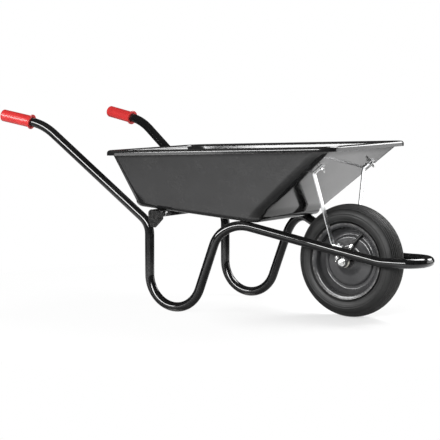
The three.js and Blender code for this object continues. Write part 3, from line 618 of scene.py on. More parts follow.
@dataclass(frozen=True)
class PaintFinish:
    """Gloss paint on steel."""

    name: str
    colour: Colour
    rough_low: float
    rough_high: float
    peel_depth: float
    wave_depth: float
    dust: float
    scratches: float
    wear: float
    wave_scale: float = 7.0
    scuff_height: float = 0.0

    def build(self, effects: EffectGroups) -> bpy.types.Material:
        """Builds the material."""
        material, g, shader, where = start_material(self.name, {"IOR": 1.5})
        smudge = effects.place(g, Effect.SMUDGES, where, scale=8.0).outputs["Value"]
        scratch = effects.place(g, Effect.SCRATCHES, where, amount=self.scratches).outputs["Mask"]
        edges = effects.place(g, Effect.EDGES, where, breakup=140.0)
        dust = effects.place(g, Effect.DUST, where, amount=self.dust).outputs["Mask"]
        peel = effects.place(g, Effect.PEEL, where, peel_scale=380.0, wave_scale=self.wave_scale)
        wear_and_painted_shade = g.math("MULTIPLY", edges.outputs["Worn"], self.wear)
        if self.scuff_height > 0:
            rubbed = effects.place(g, Effect.SCUFF, where, height=self.scuff_height).outputs["Mask"]
            wear_and_painted_shade = g.math("MAXIMUM", wear_and_painted_shade, g.math("MULTIPLY", rubbed, 0.75))
        paler = tuple(min(1.0, c * 1.5 + 0.006) for c in self.colour)
        colour = g.blend(g.math("MULTIPLY", smudge, 0.5), self.colour, paler)
        colour = g.blend(scratch, colour, (0.16, 0.16, 0.16))
        colour = g.blend(g.math("MULTIPLY", edges.outputs["Hollows"], 0.35), colour, DUST_COLOUR)
        colour = g.blend(dust, colour, DUST_COLOUR)
        colour = g.blend(wear_and_painted_shade, colour, BARE_STEEL)
        rough = g.spread(smudge, 0.0, 1.0, self.rough_low, self.rough_high)
        rough = g.math("ADD", rough, g.math("MULTIPLY", g.math("MAXIMUM", dust, scratch), 0.4))
        rough = g.math("MAXIMUM", rough, g.math("MULTIPLY", wear_and_painted_shade, 0.42))
        normal = g.bump(peel.outputs["Wave"], self.wave_depth)
        normal = g.bump(peel.outputs["Peel"], self.peel_depth, normal)
        normal = g.bump(g.math("MAXIMUM", scratch, wear_and_painted_shade), -0.00002, normal)
        feed(g, shader, Base_Color=colour, Roughness=rough, Metallic=wear_and_painted_shade, Normal=normal)
        return material


@dataclass(frozen=True)
class MetalFinish:
    """Bright plated steel."""

    name: str
    colour: Colour
    shade: Colour
    rough_low: float
    rough_high: float
    spangle: float

    def build(self, effects: EffectGroups) -> bpy.types.Material:
        """Builds the material."""
        material, g, shader, where = start_material(self.name, {"Metallic": 1.0})
        smudge = effects.place(g, Effect.SMUDGES, where, scale=40.0).outputs["Value"]
        scratch = effects.place(g, Effect.SCRATCHES, where, scale=150.0, amount=0.5).outputs["Mask"]
        hollow_mask = effects.place(g, Effect.EDGES, where, breakup=300.0).outputs["Hollows"]
        cells = g.add("ShaderNodeTexVoronoi", {"Vector": where, "Scale": 160.0}).outputs["Color"]
        flake = g.add("ShaderNodeSeparateColor", {0: cells}).outputs[0]
        tone = g.math("ADD", g.math("MULTIPLY", smudge, 0.5), g.math("MULTIPLY", flake, self.spangle))
        colour = g.blend(tone, self.colour, self.shade)
        # Darker grey in concave corners.
        colour = g.blend(g.math("MULTIPLY", hollow_mask, 0.6), colour, (0.10, 0.095, 0.09))
        rough = g.spread(tone, 0.0, 1.0, self.rough_low, self.rough_high)
        rough = g.math("ADD", rough, g.math("MULTIPLY", scratch, 0.2))
        normal = g.bump(g.noise(where, 900.0, 3.0), 0.00001)
        normal = g.bump(scratch, -0.000015, normal)
        feed(g, shader, Base_Color=colour, Roughness=rough, Normal=normal)
        return material


@dataclass(frozen=True)
class GripFinish:
    """Soft moulded plastic."""

    name: str
    colour: Colour
    shade: Colour

    def build(self, effects: EffectGroups) -> bpy.types.Material:
        """Builds the material."""
        material, g, shader, where = start_material(self.name, {"IOR": 1.48})
        smudge = effects.place(g, Effect.SMUDGES, where, scale=22.0).outputs["Value"]
        scratch = effects.place(g, Effect.SCRATCHES, where, scale=90.0, amount=0.35).outputs["Mask"]
        edges = effects.place(g, Effect.EDGES, where, breakup=200.0)
        grain = g.noise(where, 1400.0, 2.0)
        colour = g.blend(smudge, self.colour, self.shade)
        # Darker red in concave corners.
        colour = g.blend(g.math("MULTIPLY", edges.outputs["Hollows"], 0.8), colour, (0.05, 0.008, 0.006))
        colour = g.blend(g.math("MULTIPLY", edges.outputs["Worn"], 0.25), colour, (0.75, 0.16, 0.13))
        rough = g.math("ADD", g.spread(smudge, 0.0, 1.0, 0.2, 0.32), g.math("MULTIPLY", scratch, 0.15))
        normal = g.bump(grain, 0.00005)
        normal = g.bump(scratch, -0.00002, normal)
        feed(g, shader, Base_Color=colour, Roughness=rough, Normal=normal)
        return material


@dataclass(frozen=True)
class RubberFinish:
    """Moulded black rubber, dusty where it meets the ground."""

    name: str
    colour: Colour
    paler: Colour
    tread_from: float

    def build(self, effects: EffectGroups) -> bpy.types.Material:
        """Builds the material."""
        material, g, shader, where = start_material(self.name, {"IOR": 1.5, "Specular IOR Level": 0.3})
        smudge = effects.place(g, Effect.SMUDGES, where, scale=15.0).outputs["Value"]
        edges = effects.place(g, Effect.EDGES, where, breakup=260.0)
        spoke = g.add("ShaderNodeVectorMath", {0: where, 1: tuple(AXLE)}, operation="SUBTRACT").outputs[0]
        flat = g.add("ShaderNodeVectorMath", {0: spoke, 1: (1.0, 0.0, 1.0)}, operation="MULTIPLY").outputs[0]
        radius = g.add("ShaderNodeVectorMath", {0: flat}, operation="LENGTH").outputs["Value"]
        tread = g.spread(radius, self.tread_from, self.tread_from + 0.004, 0.0, 1.0)
        grit = g.spread(g.noise(where, 420.0, 5.0, 0.7), 0.45, 0.7, 0.0, 1.0)
        dusty = g.math("MULTIPLY", tread, g.spread(grit, 0.0, 1.0, 0.05, 0.4))
        colour = g.blend(smudge, self.colour, self.paler)
        colour = g.blend(g.math("MULTIPLY", edges.outputs["Hollows"], 0.3), colour, (0.09, 0.085, 0.08))
        colour = g.blend(dusty, colour, (0.045, 0.043, 0.04))
        rough = g.math("ADD", g.spread(smudge, 0.0, 1.0, 0.42, 0.6), g.math("MULTIPLY", dusty, 0.3))
        normal = g.bump(g.noise(where, 900.0, 4.0, 0.6), 0.00012)
        normal = g.bump(g.noise(where, 90.0, 3.0), 0.0003, normal)
        feed(g, shader, Base_Color=colour, Roughness=rough, Normal=normal)
        return material


@dataclass(frozen=True)
class NylonFinish:
    """Turned or moulded nylon."""

    name: str
    colour: Colour
    shade: Colour

    def build(self, effects: EffectGroups) -> bpy.types.Material:
        """Builds the material."""
        material, g, shader, where = start_material(self.name, {"IOR": 1.53})
        smudge = effects.place(g, Effect.SMUDGES, where, scale=60.0).outputs["Value"]
        hollow_mask = effects.place(g, Effect.EDGES, where, breakup=400.0).outputs["Hollows"]
        colour = g.blend(smudge, self.colour, self.shade)
        # Darker brownish grey in concave corners.
        colour = g.blend(g.math("MULTIPLY", hollow_mask, 0.7), colour, (0.12, 0.11, 0.09))
        rough = g.spread(smudge, 0.0, 1.0, 0.38, 0.55)
        feed(
            g, shader, Base_Color=colour, Roughness=rough, Normal=g.bump(g.noise(where, 1200.0, 2.0), 0.00003)
        )
        return material


class Slot(Enum):
    """Material slots of the record, by the name each has there."""

    FRAME = "frame_paint"
    TRAY = "tray_paint"
    RIM = "rim_paint"
    GALVANISED = "galvanised"
    ZINC = "zinc"
    GRIP = "grip"
    TYRE = "tyre"
    INNER_TUBE = "inner_tube"
    NYLON = "nylon"


FINISHES = {
    Slot.FRAME: PaintFinish(
        "black_gloss_tube", (0.003, 0.003, 0.0032), 0.05, 0.12, 0.00002, 0.00015, 0.03, 0.2, 0.3, 9.0, 0.012
    ),
    Slot.TRAY: PaintFinish(
        "dark_gloss_sheet", (0.008, 0.008, 0.0082), 0.07, 0.13, 0.00003, 0.0011, 0.10, 0.22, 0.25, 5.0
    ),
    Slot.RIM: PaintFinish(
        "dark_satin_rim", (0.024, 0.024, 0.025), 0.16, 0.26, 0.00004, 0.0002, 0.05, 0.3, 0.4, 14.0
    ),
    Slot.GALVANISED: MetalFinish("galvanised_bar", (0.95, 0.955, 0.96), (0.82, 0.83, 0.84), 0.24, 0.36, 0.3),
    Slot.ZINC: MetalFinish("zinc_plate", (0.80, 0.80, 0.79), (0.58, 0.59, 0.60), 0.2, 0.36, 0.12),
    Slot.GRIP: GripFinish("red_grip", (0.48, 0.030, 0.030), (0.36, 0.020, 0.020)),
    Slot.TYRE: RubberFinish("tyre_rubber", (0.006, 0.006, 0.006), (0.011, 0.011, 0.0108), 0.183),
    Slot.INNER_TUBE: RubberFinish("butyl_rubber", (0.01, 0.01, 0.01), (0.016, 0.016, 0.016), 1.0),
    Slot.NYLON: NylonFinish("white_nylon", (0.74, 0.72, 0.66), (0.64, 0.61, 0.54)),
}


@dataclass
class Workshop:
    """Holds the finished materials and dresses pieces in them."""

    materials: dict[Slot, bpy.types.Material]

    @classmethod
    def open(cls) -> "Workshop":
        """Builds the shared effects and every finish."""
        effects = EffectGroups()
        return cls({slot: finish.build(effects) for slot, finish in FINISHES.items()})

    def mount(self, piece: bpy.types.Object, body: str, slot: Slot, *nodes: str) -> bpy.types.Object:
        """Gives a piece its finish and its body.

        Args:
            piece: the piece.
            body: CAD body that it moves with.
            slot: material slot that its finish comes from.
            nodes: CAD nodes that it stands for.

        Returns:
            The piece.
        """
        piece.data.materials.clear()
        piece.data.materials.append(self.materials[slot])
        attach(piece, body)
        if nodes:
            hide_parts(*nodes)
        LOG.info("%s rides on %s in %s, for %s", piece.name, body, slot.value, ", ".join(nodes) or "itself")
        return piece


# ---- Fasteners ------------------------------------------------------------------------


@dataclass(frozen=True)
class Fasteners:
    """Sizes of bolts, nuts and washers, in millimetres, and their shapes."""

    bolt_radius: float = 4.0
    pitch: float = 1.25
    thread_depth: float = 0.6
    across_flats: float = 13.0
    nut_height: float = 6.5
    washer_radius: float = 8.5
    washer_thickness: float = 1.6
    cup_radius: float = 9.5
    cup_height: float = 4.5
    tail: float = 11.0
    gap: float = 0.3

    def hex_rows(self, across: float, height: float) -> tuple[list[Callable[[float], float]], list[float]]:
        """Side of a hexagon with chamfered corners.

        Args:
            across: width across flats.
            height: its height.

        Returns:
            Radius functions and heights, from bottom to top.
        """
        flat_circle = across / 2 * 0.97

        def radius_at(height_here: float) -> Callable[[float], float]:
            """Radius round the hexagon at one height."""
            cone = flat_circle + min(height_here, height - height_here) * math.sqrt(3)

            def radius(angle: float) -> float:
                """Hexagon's radius, limited by the chamfer cone."""
                off = (angle + math.pi / 6) % (math.pi / 3) - math.pi / 6
                return min(across / 2 / math.cos(off), cone)

            return radius

        levels = [0.0, 0.25, 0.55, 0.9, height / 2, height - 0.9, height - 0.55, height - 0.25, height]
        return [radius_at(level) for level in levels], levels

    def add_thread(
        self, shape: Shape, seat: Vector, down: Vector, start: float, end: float, radius: float
    ) -> None:
        """Adds a threaded length.

        Args:
            shape: shape to add to.
            seat: where start and end are measured from, in metres.
            down: direction from head to tail.
            start: distance where the thread begins.
            end: distance of the chamfered tip.
            radius: outer radius.
        """

        def radius_at(height: float) -> Callable[[float], float]:
            """Radius round the thread at one height."""
            tip = min(1.0, max(0.0, (end - height) / 1.2))

            def at_angle(angle: float) -> float:
                """Triangular thread that climbs one pitch a turn."""
                phase = (height / self.pitch - angle / (2 * math.pi)) % 1.0
                return (radius - self.thread_depth * abs(2 * phase - 1)) - (1 - tip) * 0.9

            return at_angle

        levels = steps(start, end, max(2, round((end - start) / self.pitch * 6)))
        heights = [levels[0], *levels, levels[-1]]
        radii = [lambda _: 0.0, *(radius_at(level) for level in levels), lambda _: 0.0]
        shape.lathe(radii, heights, seat, down, 24)

    def add_hex(
        self, shape: Shape, seat: Vector, down: Vector, start: float, size: Point2, bore: float
    ) -> None:
        """Adds a nut, or with no bore a bolt's head.

        Args:
            shape: shape to add to.
            seat: where start is measured from, in metres.
            down: direction of its height.
            start: distance of its first face.
            size: width across flats and height.
            bore: bore radius.
        """
        radii, levels = self.hex_rows(*size)
        height = size[1]
        inner = [(bore + 0.7, height), (bore, height - 0.7), (bore, 0.7), (bore + 0.7, 0.0)]
        if bore <= 0:
            inner = [(0.0, height), (0.0, 0.0)]
        rows = [*radii, *((lambda _, r=r: r) for r, _ in inner)]
        heights = [*levels, *(h for _, h in inner)]
        shape.lathe(rows, [start + h for h in heights], seat, down, 72, closed=True)

    def add_washer(
        self, shape: Shape, seat: Vector, down: Vector, start: float, radius: float, bore: float
    ) -> None:
        """Adds a washer whose outer edges are rounded by stamping."""
        t = self.washer_thickness
        ring = [(bore, 0.1), (bore + 0.1, 0.0), (radius - 0.35, 0.0), (radius - 0.1, 0.1), (radius, 0.4)]
        ring += [(radius, t - 0.15), (radius - 0.15, t), (bore + 0.1, t), (bore, t - 0.1)]
        shape.turned([(r, start + h) for r, h in ring], seat, down, 48, closed=True)

    def cup_head(self, seat: Vector, down: Vector) -> Shape:
        """Domed bolt head that sits on its seat."""
        dome = [
            (self.cup_radius * math.cos(a), self.cup_height * math.sin(a)) for a in steps(0.12, math.pi / 2, 12)
        ]
        base = [(0.0, 0.0), (self.cup_radius - 0.3, 0.0), (self.cup_radius, 0.25)]
        return Shape().turned([*base, *dome], seat, -down, 48)


@dataclass
class BoltSet:
    """One bolt, its washer and its nut."""

    name: str
    node: str
    seat: Vector
    down: Vector
    clamped: float
    hex_head: bool
    kit: Fasteners = field(default_factory=Fasteners)

    def build(self, shop: Workshop) -> None:
        """Builds and mounts the three pieces."""
        kit = self.kit
        seat = self.seat + self.down * kit.gap * -MM
        washer_at = self.clamped + 2 * kit.gap
        nut_at = washer_at + kit.washer_thickness + kit.gap
        end = nut_at + kit.nut_height + kit.tail
        if self.hex_head:
            bolt = Shape()
            kit.add_hex(bolt, seat, -self.down, 0.0, (kit.across_flats, kit.nut_height), 0.0)
        else:
            bolt = kit.cup_head(seat, self.down)
        bolt.turned(
            [(0.0, 0.0), (kit.bolt_radius, 0.0), (kit.bolt_radius, nut_at - 3), (0.0, nut_at - 3)],
            seat,
            self.down,
            32
        )
        kit.add_thread(bolt, seat, self.down, nut_at - 3.2, end, kit.bolt_radius)
        shop.mount(make_piece(f"{self.name}_bolt", bolt), "frame", Slot.ZINC, f"{self.node}_bolt")
        washer = Shape()
        kit.add_washer(washer, seat, self.down, washer_at, kit.washer_radius, kit.bolt_radius + kit.gap)
        shop.mount(make_piece(f"{self.name}_washer", washer), "frame", Slot.ZINC, f"{self.node}_washer")
        nut = Shape()
        kit.add_hex(
            nut, seat, self.down, nut_at, (kit.across_flats, kit.nut_height), kit.bolt_radius + kit.gap
        )
        shop.mount(make_piece(f"{self.name}_nut", nut), "frame", Slot.ZINC, f"{self.node}_nut")


# ---- Frame ----------------------------------------------------------------------------


@dataclass
class FrameTube:
    """The one bent tube, in millimetres from the axle, the ground and the middle plane."""

    radius: float = 16.0
    leg_y: float = 236.0
    side_y: float = 80.0
    grip_end: tuple[float, float, float] = (-1248.0, 77.0, 660.0)
    grip_knee: tuple[float, float, float] = (-1082.0, 55.0, 629.0)
    handle_slope: float = 38.4
    leg_x: float = -662.0
    foot_length: float = 182.0
    foot_flat: float = 1.0
    leg_rake: float = 20.7
    side_slope: float = 17.0
    side_rise: float = 26.0
    wheel_bend_x: float = -78.0
    nose_bend_x: float = 150.0
    nose_x: float = 279.0
    nose_rise: float = 11.0
    bend_radii: tuple[float, ...] = (0.0, 200.0, 75.0, 0.0, 0.0, 100.0, 170.0, 200.0, 76.0)

    def __post_init__(self) -> None:
        """Works out the heights where the runs meet."""
        axle_height = AXLE.z / MM
        rake, slope = tan_of(self.leg_rake), tan_of(self.side_slope)
        self.side_height = axle_height + self.side_rise
        self.nose_height = axle_height + self.nose_rise
        self.knee_height = self.grip_knee[2] - (self.leg_x - self.grip_knee[0]) * tan_of(self.handle_slope)
        self.wheel_bend_height = self.side_height - self.wheel_bend_x * slope
        foot_front = self.leg_x + self.foot_length
        self.hump_x = (foot_front + (self.side_height - self.radius) * rake) / (1 + rake * slope)
        self.foot_radius = (self.foot_length - self.foot_flat) / (1 + tan_of((90 - self.leg_rake) / 2))
        self.side_fall = (self.nose_height - self.wheel_bend_height) / (self.nose_bend_x - self.wheel_bend_x)

    def corners(self, side: int) -> list[Vector]:
        """Corners from one grip to the middle of the nose."""
        hump_height = self.side_height - self.hump_x * tan_of(self.side_slope)
        return [
            at(self.grip_end[0], side * (self.leg_y + self.grip_end[1]), self.grip_end[2]),
            at(self.grip_knee[0], side * (self.leg_y + self.grip_knee[1]), self.grip_knee[2]),
            at(self.leg_x, side * self.leg_y, self.knee_height),
            at(self.leg_x, side * self.leg_y, self.radius),
            at(self.leg_x + self.foot_length, side * self.leg_y, self.radius),
            at(self.hump_x, side * self.leg_y, hump_height),
            at(self.wheel_bend_x, side * self.side_y, self.wheel_bend_height),
            at(self.nose_bend_x, side * self.side_y, self.nose_height),
            at(self.nose_x, side * self.side_y, self.nose_height),
        ]

    def centre_line(self) -> BentLine:
        """The whole centre line from the right grip round the nose to the left grip."""
        radii = list(self.bend_radii)
        radii[3] = radii[4] = self.foot_radius
        return BentLine.through([*self.corners(-1), *reversed(self.corners(1))], [*radii, *reversed(radii)])

    def side_at(self, x: float, side: int) -> tuple[Vector, Vector, Vector]:
        """Side tube beside the wheel.

        Args:
            x: millimetres ahead of the axle.
            side: -1 for right, 1 for left.

        Returns:
            A point on its centre line, its direction and its upward normal.
        """
        along = Vector((1.0, 0.0, self.side_fall)).normalized()
        height = self.wheel_bend_height + (x - self.wheel_bend_x) * self.side_fall
        return at(x, side * self.side_y, height), along, Vector((-along.z, 0.0, along.x))

    def build(self, shop: Workshop) -> None:
        """Builds the tube."""
        rows = self.centre_line().sweep(ring_section(self.radius - 0.02), UP)
        tube = make_piece("bent_tube", Shape().grid(rows, caps=True))
        shop.mount(tube, "frame", Slot.FRAME, "frame_tube")


@dataclass
class Grips:
    """Soft sleeves on the tube's two ends."""

    tube: FrameTube
    length: float = 125.0
    wall: float = 4.6
    flange: float = 5.0
    flutes: int = 28
    flute_depth: float = 0.3
    gap: float = 0.3

    def profile(self) -> list[tuple[float, float, float]]:
        """Radius, height and how deep the flutes are there, from the closed end to the tube."""
        inner = self.tube.radius + 2 * self.gap
        outer = inner + self.wall
        crown = 6.0
        end = [
            (outer - crown + crown * math.sin(a), crown - crown * math.cos(a), 0.0) for a in steps(0.0, 1.45, 9)
        ]
        body_end = self.length - self.flange
        body = [(outer - 0.05, 7.0, 0.0), (outer, 9.0, 0.4), (outer, 13.0, 1.0)]
        body += [(outer, h, 1.0) for h in steps(18.0, body_end - 12, 14)]
        body += [(outer, body_end - 8, 0.5), (outer, body_end - 6, 0.0), (outer + 0.1, body_end - 2.5, 0.0)]
        lip = [
            (outer + 1.0, body_end - 0.8),
            (outer + 3.2, body_end),
            (outer + self.flange - 0.7, body_end + 0.3)
        ]
        lip += [(outer + self.flange, body_end + 1.4), (outer + self.flange, self.length - 1.2)]
        lip += [
            (outer + self.flange - 1.0, self.length - 0.2),
            (inner + 1.0, self.length),
            (inner, self.length - 0.8)
        ]
        lip += [(inner, self.length - 12)]
        return [(0.0, 0.0, 0.0), *end, *body, *((r, h, 0.0) for r, h in lip)]

    def build(self, shop: Workshop) -> None:
        """Builds both grips."""
        for name, side in SIDES.items():
            end, knee = self.tube.corners(side)[:2]
            along = (knee - end).normalized()
            start = end - along * (self.wall + self.gap) * MM
            rows = self.profile()

            def fluted(radius: float, share: float) -> Callable[[float], float]:
                """Radius with shallow flutes."""
                return lambda a: radius - share * self.flute_depth * (1 + math.cos(a * self.flutes)) / 2

            radii = [fluted(r, share) for r, _, share in rows]
            shape = Shape().lathe(radii, [h for _, h, _ in rows], start, along, self.flutes * 5)
            shop.mount(make_piece(f"grip_sleeve_{name}", shape), "frame", Slot.GRIP, f"grip_{name}")


@dataclass
class TrayShell:
    """Pressed tray: flat sloping floor, flared walls and a rolled lip, in millimetres."""

    sheet: float = 1.2
    floor_rear: float = -746.0
    floor_front: float = -238.0
    floor_half_width: float = 222.0
    floor_corner: float = 38.0
    fillet: float = 18.0
    slope: float = 4.1
    depth: float = 190.5
    rim_rear: float = -821.0
    rim_front: float = 50.0
    rim_half_width: float = 268.0
    rim_corner: float = 50.0
    rim_slope: float = 2.45
    lip_radius: float = 10.0
    lip_drop: float = 18.0
    corner_steps: int = 18
    side_steps: int = 14

    def __post_init__(self) -> None:
        """Finds the floor's height from the CAD tray's lowest point, at the front of its flat floor."""
        self.floor_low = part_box("tray")[0].z / MM + self.sheet

    def floor_top(self, x: float) -> float:
        """Height of the floor's upper face."""
        return self.floor_low - (x - self.floor_front + self.fillet) * tan_of(self.slope)

    def rim_height(self, x: float) -> float:
        """Height of the lip's crest."""
        return self.floor_top(self.floor_rear) + self.depth + (x - self.rim_rear) * tan_of(self.rim_slope)

    def loop(
        self, extents: tuple[float, float, float, float], height_at: Callable[[float], float]
    ) -> list[Vector]:
        """Rounded rectangle seen from above.

        Args:
            extents: rear, front, half width and corner radius.
            height_at: height as a function of x.

        Returns:
            Its points, with the straight sides divided evenly.
        """
        rear, front, half, corner = extents
        centres = [
            (front - corner, half - corner, 0),
            (rear + corner, half - corner, 90),
            (rear + corner, corner - half, 180),
            (front - corner, corner - half, 270),
        ]
        arcs = [
            [
                (cx + corner * math.cos(math.radians(a)), cy + corner * math.sin(math.radians(a)))
                for a in steps(start, start + 90, self.corner_steps)
            ]
            for cx, cy, start in centres
        ]
        flat: list[Point2] = []
        for arc, following in zip(arcs, [*arcs[1:], arcs[0]]):
            flat += arc
            (x0, y0), (x1, y1) = arc[-1], following[0]
            flat += [(x0 + (x1 - x0) * t, y0 + (y1 - y0) * t) for t in steps(0.0, 1.0, self.side_steps)[1:-1]]
        return [at(x, y, height_at(x)) for x, y in flat]

    def floor_loop(self, grow: float, rise: float) -> list[Vector]:
        """Loop that follows the floor's outline."""
        extents = (
            self.floor_rear - grow,
            self.floor_front + grow,
            self.floor_half_width + grow,
            self.floor_corner + grow
        )
        return self.loop(extents, lambda x: self.floor_top(x) + rise)

    def rim_loop(self, grow: float, rise: float) -> list[Vector]:
        """Loop that follows the top edge of the walls."""
        extents = (
            self.rim_rear - grow, self.rim_front + grow, self.rim_half_width + grow, self.rim_corner + grow
        )
        return self.loop(extents, lambda x: self.rim_height(x) + rise)

    def skin(self, offset: float) -> list[list[Vector]]:
        """One face of the sheet, from the floor to the lip's lower edge.

        Args:
            offset: 0 for the upper face, or the sheet's thickness for the lower one.

        Returns:
            Loops from the floor outwards.
        """
        radius = self.fillet + offset
        rows = []
        for angle in steps(0.0, math.pi / 2, 9):
            rows.append(
                self.floor_loop(radius * math.sin(angle) - self.fillet, self.fillet - radius * math.cos(angle))
            )
        roll = self.lip_radius - offset
        top = self.rim_loop(self.lip_radius - roll, -self.lip_radius)
        foot = rows[-1]
        rows += [[a.lerp(b, t) for a, b in zip(foot, top)] for t in steps(0.0, 1.0, 8)[1:-1]]
        for angle in steps(math.pi, 0.0, 14):
            rows.append(
                self.rim_loop(self.lip_radius + roll * math.cos(angle), roll * math.sin(angle) - self.lip_radius)
            )
        for drop in steps(self.lip_radius, self.lip_drop, 3)[1:]:
            rows.append(self.rim_loop(self.lip_radius + roll, -drop))
        return rows

    def front_wall(self) -> tuple[Vector, Vector, Vector]:
        """Top edge, upward direction and outward normal of the front wall's outer face."""
        foot = at(self.floor_front + self.sheet, 0.0, self.floor_top(self.floor_front) + self.fillet)
        top = at(self.rim_front + self.sheet, 0.0, self.rim_height(self.rim_front) - self.lip_radius)
        up = (top - foot).normalized()
        return top, up, Vector((up.z, 0.0, -up.x))

    def build(self, shop: Workshop) -> None:
        """Builds the tray."""
        rows = [*self.skin(self.sheet), *reversed(self.skin(0.0))]
        shape = Shape().grid(rows, caps=True)
        shop.mount(make_piece("tray_shell", shape, 50.0), "frame", Slot.TRAY, "tray")


@dataclass
class RearBrace:
    """Pressed cross member under the tray, with an ear on each leg, in millimetres."""

    tube: FrameTube
    tray: TrayShell
    sheet: float = 3.0
    setback: float = 8.0
    depth: float = 27.0
    channel: float = 18.0
    flange: float = 24.0
    ear_reach: float = 62.0
    ear_toe: float = 30.0
    ear_drop: float = 10.0
    gap: float = 0.3

    def __post_init__(self) -> None:
        """Finds the brace's rear top corner under the tray."""
        self.rear = self.tube.leg_x + self.setback
        self.top = self.tray.floor_top(self.rear) - self.tray.sheet - self.gap
        self.ear_y = self.tube.leg_y + self.tube.radius / 2

    def spot(self, x: float, drop: float) -> Point2:
        """Point in x and z on the brace, that far ahead of its rear and below its top."""
        return self.rear + x, self.top - x * tan_of(self.tray.slope) - drop

    def bolt_seat(self, side: int) -> Vector:
        """Where the bolt through the flange meets the tray floor."""
        x = self.tube.leg_x + self.setback + self.channel + self.flange / 2
        y = self.tray.floor_half_width - self.tray.fillet - Fasteners().cup_radius
        return at(x, side * y, self.tray.floor_top(x))

    def build(self, shop: Workshop) -> None:
        """Builds the brace with its two ears."""
        front, t = self.channel + self.flange, self.sheet
        section = [
            *((0, 0), (front, 0), (front, t), (self.channel, t), (self.channel, self.depth)),
            *(
                (self.channel - t, self.depth),
                (self.channel - t, t),
                (t, t),
                (t, self.depth),
                (0, self.depth)
            ),
        ]
        radii = [t, 1.2, 1.2, 1.5, 1.2, 1.2, 1.5, 1.5, 1.2, 1.2]
        outline = rounded_outline([self.spot(x, drop) for x, drop in section], radii, 4)
        whole = plate_shape(outline, -self.ear_y, self.ear_y)
        toe = self.top - self.tube.knee_height + self.ear_drop
        ear = [
            *((0, 0), (self.ear_reach - self.setback, 0), (self.ear_reach - self.setback, self.depth)),
            *((self.ear_toe - self.setback, toe), (-self.setback, toe), (-self.setback, self.depth / 3)),
        ]
        ear_outline = rounded_outline([self.spot(x, drop) for x, drop in ear], [9, 6, 8, 6, 3, 4], 6)
        for low in (self.ear_y - t, -self.ear_y):
            part = plate_shape(ear_outline, low, low + t)
            whole.add(part.verts, part.faces)
        piece = make_piece("pressed_brace", whole)
        round_edges(piece, 0.6, 2)
        shop.mount(piece, "frame", Slot.FRAME, "rear_brace")


def weld_bead(
    name: str, path: Sequence[Vector], radius: float, shop: Workshop, body: str, slot: Slot
) -> None:
    """Lays a rippled weld along a path.

    Args:
        name: the piece's name.
        path: points along the weld, in metres.
        radius: bead radius in millimetres.
        shop: workshop that dresses it.
        body: body that it rides on.
        slot: material slot.
    """
    dense: list[Vector] = []
    for start, end in zip(path, path[1:]):
        count = max(1, round((end - start).length / (0.6 * MM)))
        dense += [start.lerp(end, t) for t in steps(0.0, 1.0, count)[:-1]]
    dense.append(path[-1])
    line = BentLine()
    for i, point in enumerate(dense):
        line.put(point, dense[min(i + 1, len(dense) - 1)] - dense[max(i - 1, 0)])
    rows = []
    for i, loop in enumerate(line.sweep(ring_section(radius, 12), Vector((0.2, 0.9, 0.4)))):
        taper = min(1.0, 0.25 + i / 5, 0.25 + (len(dense) - 1 - i) / 5)
        swell = taper * (0.88 + 0.14 * abs(math.sin(i * 0.62)) + 0.05 * math.sin(i * 0.171 + 1.0))
        rows.append([line.points[i] + (p - line.points[i]) * swell for p in loop])
    shop.mount(make_piece(name, Shape().grid(rows, caps=True), 60.0), body, slot)


